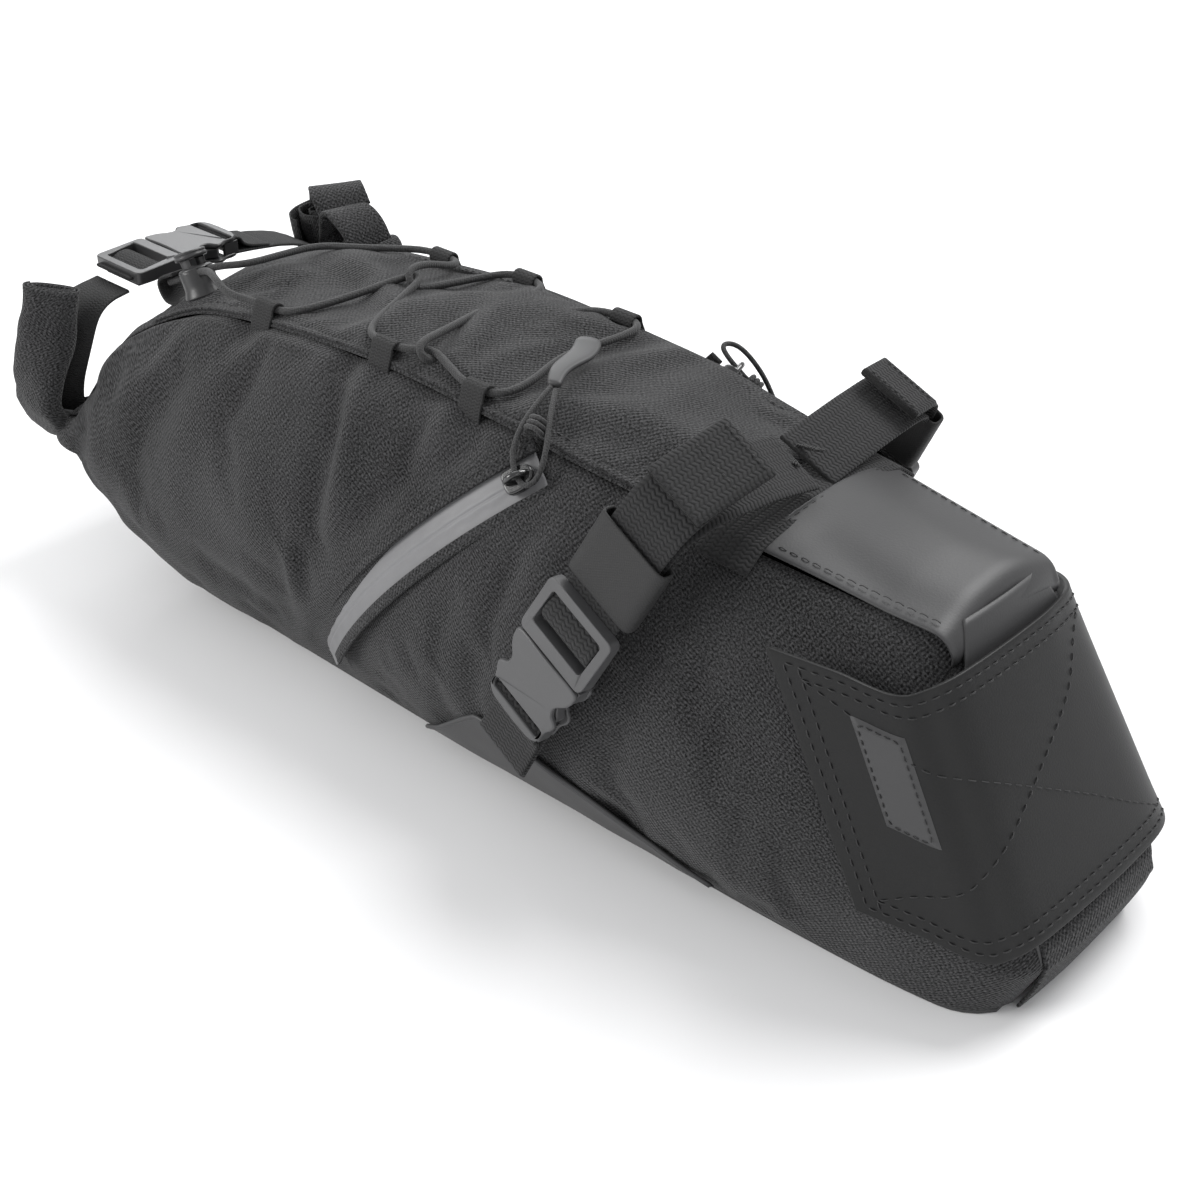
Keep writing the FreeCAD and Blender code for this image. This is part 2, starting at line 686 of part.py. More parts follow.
def makeCordLoops():
    # A folded strip sewn into the seam. Its eye holds the shock cord along X.
    for side, word in ((right, "right"), (left, "left")):
        for number, x in enumerate(loopPlaces[side], start=1):
            name = "cord_loop_%s_%d" % (word, number)
            outer = doc.addObject("Part::Cylinder", name + "_outer")
            outer.setExpression("Height", "Sizes.cordLoopWidth")
            outer.Radius = 3.6
            tail = doc.addObject("Part::Box", name + "_tail")
            tail.Length = 2.0
            tail.Width = 8.0
            tail.setExpression("Height", "Sizes.cordLoopWidth")
            tail.Placement = FreeCAD.Placement(Vector(1.6, 0, 0), FreeCAD.Rotation())
            body = doc.addObject("Part::Fuse", name + "_body")
            body.Base = outer
            body.Tool = tail
            eye = doc.addObject("Part::Cylinder", name + "_eye")
            eye.Height = 30
            eye.Radius = 2.5
            eye.Placement = FreeCAD.Placement(Vector(0, 0, -5), FreeCAD.Rotation())
            cut = doc.addObject("Part::Cut", name)
            cut.Base = body
            cut.Tool = eye
            height = topHeight(x, loopOut) + loopLift
            start = sided(side, x - side * size("cordLoopWidth") / 2, loopOut, height)
            # X of the piece points down, Y points outwards, Z runs along the bag.
            down = Vector(0, 0, -1)
            along = down.cross(Vector(0, side, 0))
            cut.Placement = frameAt(start, down, along)
            keep(cut, name)


lockFoot = Vector(-185, -36, 130.0)
lockAlong = Vector(0.9, 0, 0.436)  # up the slope of the tail, along the cords
lockUp = Vector(-0.436, 0, 0.9)
cordHeight = 10.0  # height of the cords above the foot of the cord lock

shockRoute = [
    (-207.4, -34.0, 130.7), (-194.8, -34.05, 136.8), (-178.6, -33.8, 144.6), (-167, -26, 146.4), (-166, -8, 146.0),
    (-164, 9, 145.6), (-150, 22, 144.4), (-139, 35, 143.4), (-130, 41, 143.2), (-112, 41, 143.2), (-106, 32, 145.4),
    (-104, 15, 152.0), (-101.5, 3.5, 152.6), (-97.5, 3.3, 145.9), (-93, 14, 145.9), (-86, 33, 146.2),
    (-79, 41.0, 147.1), (-62, 41.0, 147.1), (-55, 30, 148.0), (-58, 6, 148.8), (-52, -22, 149.9),
    (-47.0, -37.5, 152.3), (-44.5, -41.0, 149.8), (-41.5, -38.2, 145.6), (-40, -26, 146.6), (-45, -6, 148.4),
    (-42, 14, 147.9), (-33, 34, 146.6), (-25.5, 41.0, 145.8), (-8, 41.0, 145.8), (-4.5, 26, 146.6),
    (-9, -2, 147.2), (-1, -28, 146.4), (-4, -41.0, 145.6), (-21, -41.0, 145.6), (-32, -37.5, 147.2),
    (-44, -34.3, 149.2), (-53, -40.2, 148.0), (-71, -41.0, 147.6), (-81, -33, 147.2), (-92, -8, 147.4),
    (-98.5, 9.6, 149.2), (-105, 6.5, 148.9), (-111, -14, 145.6), (-117, -34, 143.6), (-126, -41.0, 141.6),
    (-143, -41.0, 141.4), (-155, -46, 143.0), (-165, -44, 146.4), (-178.6, -38.2, 144.6), (-194.8, -37.95, 136.8),
    (-207.4, -38.0, 130.7),
]


def makeShockCord():
    cordNode("shock_cord", [Vector(*point) for point in shockRoute], size("shockCordDiameter"))


def makeCordLock():
    radius = size("lockRadius")
    tall = size("lockHeight")
    body = doc.addObject("PartDesign::Body", "cord_lock_body")
    profile = [(0, 0), (radius + 1, 0), (radius + 1, 1.5), (radius, 4), (radius, tall - 1),
               (radius - 1, tall), (5.6, tall), (5.6, 2), (0, 2)]
    turn = body.newObject("PartDesign::Revolution", "lockTurn")
    sketch = sketchOn(body, "lockProfile", "XZ_Plane", profile)
    turn.Profile = sketch
    turn.ReferenceAxis = (sketch, ["V_Axis"])
    turn.Angle = 360
    slot = rectangle(-4.0, 4.0, cordHeight - 1.9, cordHeight + 1.9)
    cross = body.newObject("PartDesign::Pocket", "lockCross")
    cross.Profile = sketchOn(body, "lockSlot", "YZ_Plane", slot)
    cross.Midplane = True
    cross.Length = 30
    body.Placement = frameAt(lockFoot, lockAlong, lockUp)
    keep(body, "cord_lock_body")

    travel = size("plungerTravel")
    body = doc.addObject("PartDesign::Body", "cord_lock_plunger")
    capFoot = tall + travel + 0.3
    profile = [(0, 7.4), (5.3, 7.4), (5.3, capFoot), (6.8, capFoot), (7.2, capFoot + 1),
               (6.6, capFoot + 3), (5.4, capFoot + 3.2), (4.8, capFoot + 2.6), (0, capFoot + 2.6)]
    turn = body.newObject("PartDesign::Revolution", "plungerTurn")
    sketch = sketchOn(body, "plungerProfile", "XZ_Plane", profile)
    turn.Profile = sketch
    turn.ReferenceAxis = (sketch, ["V_Axis"])
    turn.Angle = 360
    slot = rectangle(-4.0, 4.0, cordHeight - 1.8, cordHeight + 1.8 + travel)
    cross = body.newObject("PartDesign::Pocket", "plungerCross")
    cross.Profile = sketchOn(body, "plungerSlot", "YZ_Plane", slot)
    cross.Midplane = True
    cross.Length = 30
    body.Placement = frameAt(lockFoot, lockAlong, lockUp)
    keep(body, "cord_lock_plunger")

    turns = 3
    points = []
    for step in range(8 * turns + 1):
        angle = step * math.pi / 4
        points.append(Vector(3.5 * math.cos(angle), 3.5 * math.sin(angle), 4.6 * step / (8 * turns)))
    feature = cordNode("cord_lock_spring", points, 0.5)
    feature.Placement = frameAt(lockFoot + lockUp * 2.35, lockAlong, lockUp)

    fold = [(-10.5, -0.2), (-23, 3.0), (-23, 12.8), (-10.5, 12.8)]
    body = doc.addObject("PartDesign::Body", "cord_lock_tab")
    outline = ribbonOutline(fold, size("webbingThickness"))
    tab = pad(body, sketchOn(body, "lockTabEdge", "XZ_Plane", outline), "Sizes.cordLoopWidth + 1")
    tab.Refine = True
    body.Placement = frameAt(lockFoot, lockAlong, lockUp)
    keep(body, "cord_lock_tab")


makePanels()
makeStiffeners()
makeFlap()
for side, word in ((right, "right"), (left, "left")):
    makeSideStraps(side, word)
    makeWing(side, word)
    makeZip(side, word)
makeCrossBand()
makeRoll()
makeCordLoops()
makeShockCord()
makeCordLock()

doc.recompute()
for obj in doc.Objects:
    if "Invalid" in obj.State or "Error" in obj.State:
        raise RuntimeError("%s is %s" % (obj.Name, obj.State))
for obj in subparts:
    if obj.Shape.isNull() or not obj.Shape.isValid():
        raise RuntimeError("%s has no valid shape" % obj.Label)

os.makedirs("parts", exist_ok=True)
for obj in subparts:
    obj.Shape.exportStep("parts/%s.step" % obj.Label)
print(len(subparts), "pieces")
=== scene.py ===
import math
import bpy
import bmesh
import numpy as np
from mathutils import Matrix, Vector, noise


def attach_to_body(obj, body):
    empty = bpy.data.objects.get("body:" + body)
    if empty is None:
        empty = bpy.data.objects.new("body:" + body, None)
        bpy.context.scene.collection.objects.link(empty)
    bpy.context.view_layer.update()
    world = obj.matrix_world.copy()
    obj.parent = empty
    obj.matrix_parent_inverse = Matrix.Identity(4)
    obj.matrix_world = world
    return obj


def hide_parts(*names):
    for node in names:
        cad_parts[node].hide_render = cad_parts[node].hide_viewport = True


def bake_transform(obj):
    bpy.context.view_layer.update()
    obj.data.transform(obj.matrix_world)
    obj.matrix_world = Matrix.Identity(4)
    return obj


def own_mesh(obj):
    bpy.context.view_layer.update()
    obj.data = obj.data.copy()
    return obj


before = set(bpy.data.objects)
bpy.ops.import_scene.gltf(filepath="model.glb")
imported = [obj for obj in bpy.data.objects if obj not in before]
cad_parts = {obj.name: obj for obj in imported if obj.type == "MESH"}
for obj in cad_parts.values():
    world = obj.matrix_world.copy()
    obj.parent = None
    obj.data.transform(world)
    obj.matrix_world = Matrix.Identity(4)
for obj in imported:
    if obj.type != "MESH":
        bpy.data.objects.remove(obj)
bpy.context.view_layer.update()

right, left = -1, 1
words = {right: "right", left: "left"}
scene = bpy.context.scene


# Camera, light and floor
studio = {"place": (0.414, -0.431, 0.421), "tilt": 57.7, "turn": 43.3, "lens": 53.4,
          "world": (0.93, 0.935, 0.945), "worldStrength": 0.7, "floor": (0.86, 0.86, 0.865)}

cameraData = bpy.data.cameras.new("camera")
cameraData.sensor_width = 36
cameraData.lens = studio["lens"]
camera = bpy.data.objects.new("camera", cameraData)
camera.location = studio["place"]
camera.rotation_euler = (math.radians(studio["tilt"]), 0, math.radians(studio["turn"]))
scene.collection.objects.link(camera)
scene.camera = camera
scene.view_settings.view_transform = "Standard"

# name: place, size, power, tint
lamps = {
    "keyLight": ((0.25, 0.95, 1.6), 1.1, 30, (1, 1, 1)),
    "frontLight": ((-0.85, -1.35, 0.75), 0.9, 19, (1, 0.995, 0.985)),
    "noseLight": ((1.5, -0.5, 0.5), 0.8, 2.5, (1, 1, 1)),
    "rearLight": ((-1.3, 0.9, 1.0), 1.0, 9, (0.98, 0.99, 1)),
}
for name, (place, across, power, tint) in lamps.items():
    data = bpy.data.lights.new(name, "AREA")
    data.shape = "DISK"
    data.size = across
    data.energy = power
    data.color = tint
    lamp = bpy.data.objects.new(name, data)
    lamp.location = place
    lamp.rotation_euler = (Vector((0, 0, 0.07)) - Vector(place)).to_track_quat("-Z", "Y").to_euler()
    scene.collection.objects.link(lamp)

world = bpy.data.worlds.new("studio")
world.use_nodes = True
world.node_tree.nodes["Background"].inputs[0].default_value = (*studio["world"], 1)
world.node_tree.nodes["Background"].inputs[1].default_value = studio["worldStrength"]
scene.world = world


# Node groups and materials
def socketed(name, inputs, outputs):
    group = bpy.data.node_groups.new(name, "ShaderNodeTree")
    for title, kind in inputs:
        group.interface.new_socket(title, in_out="INPUT", socket_type=kind)
    for title, kind in outputs:
        group.interface.new_socket(title, in_out="OUTPUT", socket_type=kind)
    return group, group.nodes.new("NodeGroupInput"), group.nodes.new("NodeGroupOutput")


def mathNode(tree, operation, first, second=None):
    node = tree.nodes.new("ShaderNodeMath")
    node.operation = operation
    for index, value in enumerate((first, second)):
        if value is None:
            continue
        if isinstance(value, (int, float)):
            node.inputs[index].default_value = value
        else:
            tree.links.new(value, node.inputs[index])
    return node.outputs[0]


def noiseNode(tree, vector, scale, detail=2.0, rough=0.5):
    node = tree.nodes.new("ShaderNodeTexNoise")
    node.inputs["Scale"].default_value = scale
    node.inputs["Detail"].default_value = detail
    node.inputs["Roughness"].default_value = rough
    tree.links.new(vector, node.inputs["Vector"])
    return node.outputs[0]


def rangeNode(tree, value, fromLow, fromHigh, low, high):
    node = tree.nodes.new("ShaderNodeMapRange")
    for index, number in enumerate((fromLow, fromHigh, low, high), start=1):
        node.inputs[index].default_value = number
    tree.links.new(value, node.inputs[0])
    return node.outputs[0]


vectorIn = [("Vector", "NodeSocketVector"), ("Scale", "NodeSocketFloat")]
effectOut = [("Height", "NodeSocketFloat"), ("Shade", "NodeSocketFloat")]


def scaledParts(tree, source):
    scaled = tree.nodes.new("ShaderNodeVectorMath")
    scaled.operation = "SCALE"
    tree.links.new(source.outputs["Vector"], scaled.inputs[0])
    tree.links.new(source.outputs["Scale"], scaled.inputs["Scale"])
    parts = tree.nodes.new("ShaderNodeSeparateXYZ")
    tree.links.new(scaled.outputs[0], parts.inputs[0])
    return scaled.outputs[0], parts.outputs[0], parts.outputs[1]


def plus(tree, first, second):
    return mathNode(tree, "ADD", first, second)


def times(tree, first, second):
    return mathNode(tree, "MULTIPLY", first, second)


def ridges(tree, value):
    # One swell and one dip for every two units of value.
    return mathNode(tree, "SINE", times(tree, value, math.pi))


def effectOf(tree, result, height, shade):
    tree.links.new(height, result.inputs["Height"])
    tree.links.new(shade, result.inputs["Shade"])
    return tree


# Ranges are from low, from high, to low, to high.
weaveLook = {"wobble": 1.6, "crossHeight": 0.4, "yarnHeight": 0.8, "crossShade": 0.16, "baseShade": 0.3,
             "fleck": (0.4, 0.66, -0.2, 0.6), "cloud": (0.3, 0.7, -0.08, 0.12)}


def weaveEffect():
    # Plain weave: one yarn per unit each way, with uneven yarns and a pale fleck.
    tree, source, result = socketed("plainWeave", vectorIn, effectOut)
    vector, u, v = scaledParts(tree, source)
    wobble = times(tree, noiseNode(tree, vector, 0.09, 2), weaveLook["wobble"])
    cross = times(tree, ridges(tree, plus(tree, u, wobble)), ridges(tree, plus(tree, v, wobble)))
    yarn = times(tree, noiseNode(tree, vector, 0.9, 1), weaveLook["yarnHeight"])
    fleck = rangeNode(tree, noiseNode(tree, vector, 1.25, 2, 0.7), *weaveLook["fleck"])
    cloud = rangeNode(tree, noiseNode(tree, vector, 0.02, 3), *weaveLook["cloud"])
    shade = plus(tree, plus(tree, times(tree, cross, weaveLook["crossShade"]), fleck),
                 plus(tree, cloud, weaveLook["baseShade"]))
    return effectOf(tree, result, plus(tree, times(tree, cross, weaveLook["crossHeight"]), yarn), shade)


ribLook = {"slant": 0.5, "ridgeHeight": 0.8, "valleyHeight": 0.25, "fuzzHeight": 0.35, "ridgeShade": 0.45,
           "fuzzShade": 0.5}


def ribEffect():
    # Webbing: chevrons of yarn across the strap, each column half a step out of line.
    tree, source, result = socketed("webbingRibs", vectorIn, effectOut)
    vector, u, v = scaledParts(tree, source)
    slanted = plus(tree, u, times(tree, mathNode(tree, "PINGPONG", v, 1.0), ribLook["slant"]))
    ridge = mathNode(tree, "ABSOLUTE", ridges(tree, slanted))
    valley = mathNode(tree, "ABSOLUTE", ridges(tree, v))
    fuzz = noiseNode(tree, vector, 1.4, 2, 0.7)
    height = plus(tree, times(tree, ridge, ribLook["ridgeHeight"]),
                  plus(tree, times(tree, valley, ribLook["valleyHeight"]),
                       times(tree, fuzz, ribLook["fuzzHeight"])))
    shade = plus(tree, times(tree, ridge, ribLook["ridgeShade"]), times(tree, fuzz, ribLook["fuzzShade"]))
    return effectOf(tree, result, height, shade)


grainLook = {"scuffHeight": 0.4, "pebbleShade": 0.4, "scuffShade": 0.6}


def grainEffect():
    # Fine pebbled grain, with broad faint scuffs.
    tree, source, result = socketed("fineGrain", vectorIn, effectOut)
    vector = scaledParts(tree, source)[0]
    pebble = noiseNode(tree, vector, 1.0, 2, 0.55)
    scuff = noiseNode(tree, vector, 0.03, 4, 0.6)
    height = plus(tree, pebble, times(tree, scuff, grainLook["scuffHeight"]))
    shade = plus(tree, times(tree, pebble, grainLook["pebbleShade"]),
                 times(tree, scuff, grainLook["scuffShade"]))
    return effectOf(tree, result, height, shade)


def fuzzEffect():
    # Hook and loop: a dense pile of tiny tufts.
    tree, source, result = socketed("loopPile", vectorIn, effectOut)
    vector = scaledParts(tree, source)[0]
    cells = tree.nodes.new("ShaderNodeTexVoronoi")
    cells.inputs["Scale"].default_value = 1.0
    tree.links.new(vector, cells.inputs["Vector"])
    tuft = mathNode(tree, "SUBTRACT", 1.0, cells.outputs["Distance"])
    height = plus(tree, tuft, noiseNode(tree, vector, 2.2, 2, 0.7))
    shade = rangeNode(tree, times(tree, tuft, noiseNode(tree, vector, 2.6, 2, 0.8)), 0.25, 0.6, 0, 1)
    return effectOf(tree, result, height, shade)


effects = {"weave": weaveEffect(), "rib": ribEffect(), "grain": grainEffect(), "fuzz": fuzzEffect()}


def finish(name, effect, coordinates, step, dark, light, rough, bump, **sockets):
    # step is the size of one yarn, rib or pebble in metres, and bump its height.
    material = bpy.data.materials.new(name)
    material.use_nodes = True
    tree = material.node_tree
    shader = tree.nodes["Principled BSDF"]
    place = tree.nodes.new("ShaderNodeTexCoord")
    group = tree.nodes.new("ShaderNodeGroup")
    group.node_tree = effects[effect]
    group.inputs["Scale"].default_value = 1 / step
    tree.links.new(place.outputs[coordinates], group.inputs["Vector"])
    mix = tree.nodes.new("ShaderNodeMix")
    mix.data_type = "RGBA"
    mix.inputs["A"].default_value = (*dark, 1)
    mix.inputs["B"].default_value = (*light, 1)
    tree.links.new(group.outputs["Shade"], mix.inputs["Factor"])
    tree.links.new(mix.outputs["Result"], shader.inputs["Base Color"])
    relief = tree.nodes.new("ShaderNodeBump")
    relief.inputs["Distance"].default_value = bump
    tree.links.new(group.outputs["Height"], relief.inputs["Height"])
    tree.links.new(relief.outputs[0], shader.inputs["Normal"])
    shader.inputs["Roughness"].default_value = rough
    for socket, value in sockets.items():
        shader.inputs[socket.replace("_", " ")].default_value = value
    return material


def grey(value, cool=1.03):
    return (value, value, value * cool)


cloth = finish("wovenCloth", "weave", "UV", 0.00105, grey(0.0015), grey(0.066), 0.9, 0.00042,
               Sheen_Weight=0.1, Sheen_Roughness=0.45, Specular_IOR_Level=0.2)
coated = finish("coatedCloth", "grain", "UV", 0.0009, grey(0.027), grey(0.045), 0.48, 0.00005,
                Specular_IOR_Level=0.45)
# Painted shade: the flap coating has its own darker tone, and it is darkened further to stand in for the
# shade on the nose's front face.
flapCoatedPaintedShade = finish("flapClothPaintedShade", "grain", "UV", 0.0008, grey(0.004), grey(0.009), 0.5, 0.00006,
                    Specular_IOR_Level=0.32)
laminate = finish("zipLaminate", "grain", "UV", 0.0007, grey(0.13), grey(0.18), 0.5, 0.00004)
webbing = finish("webbing", "rib", "UV", 0.0017, grey(0.003), grey(0.034), 0.8, 0.00045,
                 Sheen_Weight=0.06, Specular_IOR_Level=0.25)
fineWebbing = finish("fineWebbing", "rib", "UV", 0.0013, grey(0.002), grey(0.02), 0.8, 0.0003)
elastic = finish("elastic", "weave", "UV", 0.0006, grey(0.008), grey(0.016), 0.7, 0.00008)
plastic = finish("mouldedPlastic", "grain", "Object", 0.0005, grey(0.055), grey(0.075), 0.42, 0.00002)
darkPlastic = finish("darkPlastic", "grain", "Object", 0.0005, grey(0.018), grey(0.028), 0.36, 0.00002)
gloss = finish("sliderEnamel", "grain", "Object", 0.0008, grey(0.008), grey(0.014), 0.16, 0.00001,
               Coat_Weight=0.6, Coat_Roughness=0.08)
rubber = finish("softRubber", "grain", "Object", 0.0004, grey(0.032), grey(0.045), 0.5, 0.00002)
cordSkin = finish("braidedCord", "weave", "Object", 0.0006, grey(0.006), grey(0.04), 0.75, 0.0002,
                  Sheen_Weight=0.1)
pile = finish("loopPile", "fuzz", "Object", 0.0007, grey(0.002), grey(0.03), 0.95, 0.0007, Sheen_Weight=0.2)
thread = finish("thread", "grain", "Object", 0.0004, grey(0.006), grey(0.02), 0.6, 0.00002)
steel = finish("springSteel", "grain", "Object", 0.0004, grey(0.35), grey(0.45), 0.3, 0.00001, Metallic=1.0)
floorSkin = finish("floor", "grain", "Object", 0.01, studio["floor"], studio["floor"], 0.8, 0.00001)
print("materials made")


# Mesh helpers. Shapes are worked out in millimetres.
def unit(vectors):
    return vectors / np.maximum(np.linalg.norm(vectors, axis=-1, keepdims=True), 1e-9)


def addMesh(name, points, faces, material, body, stands=(), uv=None, smooth=True):
    mesh = bpy.data.meshes.new(name)
    mesh.from_pydata((np.asarray(points, float) * 0.001).tolist(), [], faces)
    mesh.materials.append(material)
    if uv is not None:
        layer = mesh.uv_layers.new(name="place")
        corners = np.zeros(len(mesh.loops), int)
        mesh.loops.foreach_get("vertex_index", corners)
        layer.data.foreach_set("uv", (np.asarray(uv, float)[corners] * 0.001).ravel())
    mesh.polygons.foreach_set("use_smooth", [smooth] * len(mesh.polygons))
    piece = bpy.data.objects.new(name, mesh)
    scene.collection.objects.link(piece)
    if body:
        attach(piece, body, stands)
    return piece


def attach(piece, body, stands=()):
    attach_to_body(piece, body)
    if stands:
        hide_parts(*([stands] if isinstance(stands, str) else stands))


def gridFaces(rows, columns, wrap=False, flip=False):
    faces = []
    for i in range(rows - 1):
        for j in range(columns if wrap else columns - 1):
            k = (j + 1) % columns
            face = (i * columns + j, i * columns + k, (i + 1) * columns + k, (i + 1) * columns + j)
            faces.append(face[::-1] if flip else face)
    return faces


def sheet(name, grid, material, flip=False):
    # A sheet through a grid of points, with the weave laid along and across it.
    return addMesh(name, grid.reshape(-1, 3), gridFaces(*grid.shape[:2], flip=flip), material, None,
                   uv=placeUv(grid))


def thicken(piece, thickness, offset=-1, smoothed=True):
    addModifier(piece, "SOLIDIFY", thickness=thickness, offset=offset)
    if smoothed:
        addModifier(piece, "SUBSURF", levels=1, render_levels=1)


def gridNormals(grid):
    return unit(np.cross(np.gradient(grid, axis=0), np.gradient(grid, axis=1)))


def lengthAlong(points):
    steps = np.linalg.norm(np.diff(points, axis=0), axis=-1)
    return np.concatenate([[0], np.cumsum(steps)])


def addModifier(piece, kind, **settings):
    modifier = piece.modifiers.new(kind.lower(), kind)
    for key, value in settings.items():
        setattr(modifier, key, value)
    return modifier


def softened(route, passes=3):
    # Corner cutting, for straps and edges.
    route = np.asarray(route, float)
    for _ in range(passes):
        ahead = route[:-1] * 0.75 + route[1:] * 0.25
        back = route[:-1] * 0.25 + route[1:] * 0.75
        route = np.concatenate([route[:1], np.stack([ahead, back], 1).reshape(-1, route.shape[1]),
                                route[-1:]])
    return route


def resampled(route, step):
    along = lengthAlong(route)
    count = max(2, int(round(along[-1] / step)) + 1)
    places = np.linspace(0, along[-1], count)
    return np.stack([np.interp(places, along, route[:, k]) for k in range(route.shape[1])], 1)


def wave(points, size, seed):
    # Smooth noise from -1 to 1, with one swell per size millimetres.
    flat = np.asarray(points, float).reshape(-1, 3) / size
    values = [noise.noise(Vector((a + seed, b - seed, c + 0.37 * seed))) for a, b, c in flat]
    return np.array(values).reshape(np.asarray(points).shape[:-1])


def smoothStep(low, high, value):
    share = np.clip((value - low) / (high - low), 0, 1)
    return share * share * (3 - 2 * share)


def stitches(name, route, normals, body, slot, length=2.9, gapLength=1.3, radius=0.3, lift=0.1, stands=(),
             material=None):
    # A row of thread stitches that dip into the cloth at both ends.
    along = lengthAlong(route)
    count = max(1, int(along[-1] // (length + gapLength)))
    period = along[-1] / count
    points, faces = [], []
    for index in range(count):
        places = index * period + np.linspace(0, 1, 5) * length + (period - length) / 2
        centre = np.stack([np.interp(places, along, route[:, k]) for k in range(3)], 1)
        up = unit(np.stack([np.interp(places, along, normals[:, k]) for k in range(3)], 1))
        ahead = unit(np.gradient(centre, axis=0))
        across = unit(np.cross(ahead, up))
        arc = np.array([-1.0, 0.4, 0.8, 0.4, -1.0])[:, None] * radius + lift
        start = len(points)
        for turn in np.arange(5) * math.tau / 5:
            shift = across * math.cos(turn) * radius + up * math.sin(turn) * radius * 0.8
            points.extend(centre + up * arc + shift)
        for j in range(5):
            for i in range(4):
                a, b = start + j * 5 + i, start + ((j + 1) % 5) * 5 + i
                faces.append((a, a + 1, b + 1, b))
    return addMesh(name, points, faces, material or thread, body, stands)


def strap(name, route, across, width, thickness, material, body, stands=(), step=1.6, waviness=0.0,
          widths=None):
    # A flat band along route. across holds the width direction at every route point, or one for all.
    route = np.asarray(route, float)
    sides = unit(np.broadcast_to(np.asarray(across, float), route.shape).astype(float))
    joined = resampled(np.concatenate([route, sides], 1), step)
    centre, sides = joined[:, :3], unit(joined[:, 3:])
    ahead = unit(np.gradient(centre, axis=0))
    sides = unit(sides - ahead * (sides * ahead).sum(1, keepdims=True))
    up = unit(np.cross(ahead, sides))
    half, thick = width / 2, thickness / 2
    fractions = [-1, -0.985, -0.93, -0.6, -0.3, 0, 0.3, 0.6, 0.93, 0.985, 1]
    section = [(f, 1.0 if abs(f) < 0.97 else (0.75 if abs(f) < 0.99 else 0.0)) for f in fractions]
    ring = section + [(f, -h) for f, h in section[-2:0:-1]]
    along = lengthAlong(centre)
    scale = np.ones(len(centre)) if widths is None else np.interp(along / along[-1], *widths)
    points, uv = [], []
    flutter = wave(centre, 14, 3.1) * waviness
    for i in range(len(centre)):
        for f, h in ring:
            rise = h * thick + flutter[i] * (1 - 0.5 * f)
            points.append(centre[i] + sides[i] * f * half * scale[i] + up[i] * rise)
            uv.append((along[i], f * half + (0 if h >= 0 else 60)))
    columns = len(ring)
    faces = gridFaces(len(centre), columns, wrap=True)
    faces.append(tuple(range(columns))[::-1])
    faces.append(tuple(range((len(centre) - 1) * columns, len(centre) * columns)))
    piece = addMesh(name, points, faces, material, body, stands, uv)
    fixNormals(piece)
    return piece


def fixNormals(piece):
    work = bmesh.new()
    work.from_mesh(piece.data)
    bmesh.ops.recalc_face_normals(work, faces=work.faces)
    work.to_mesh(piece.data)
    work.free()


def plate(name, outline, holes, low, high, place, material, body, stands=(), bevel=0.7, crown=None,
          segments=3):
    # A moulded plate: an outline with holes, extruded and rounded on every edge.
    work = bmesh.new()
    for loop in [outline] + list(holes):
        corners = [work.verts.new((x, y, low)) for x, y in loop]
        for first, second in zip(corners, corners[1:] + corners[:1]):
            work.edges.new((first, second))
    bmesh.ops.triangle_fill(work, use_beauty=True, use_dissolve=True, edges=work.edges[:])
    made = bmesh.ops.extrude_face_region(work, geom=work.faces[:])
    lifted = [item for item in made["geom"] if isinstance(item, bmesh.types.BMVert)]
    bmesh.ops.translate(work, vec=(0, 0, high - low), verts=lifted)
    bmesh.ops.recalc_face_normals(work, faces=work.faces)
    if crown:
        for vert in work.verts:
            vert.co.z += crown(vert.co)
    mesh = bpy.data.meshes.new(name)
    work.to_mesh(mesh)
    work.free()
    mesh.transform(Matrix.Scale(0.001, 4) @ place)
    mesh.materials.append(material)
    mesh.polygons.foreach_set("use_smooth", [True] * len(mesh.polygons))
    piece = bpy.data.objects.new(name, mesh)
    scene.collection.objects.link(piece)
    addModifier(piece, "BEVEL", width=bevel * 0.001, segments=segments, limit_method="ANGLE", angle_limit=0.6,
                harden_normals=True)
    attach(piece, body, stands)
    return piece


def frameAt(origin, along, outward):
    x = Vector(along).normalized()
    z = Vector(outward)
    z = (z - x * z.dot(x)).normalized()
    y = z.cross(x)
    matrix = Matrix((x, y, z)).transposed().to_4x4()
    matrix.translation = Vector(origin)
    return matrix


def carried(place, points):
    points = np.asarray(points, float)
    return points @ np.array(place.to_3x3()).T + np.array(place.translation)


def sided(side, point):
    return (point[0], side * point[1], point[2])


def mirrored(side, route):
    return [sided(side, point) for point in route]


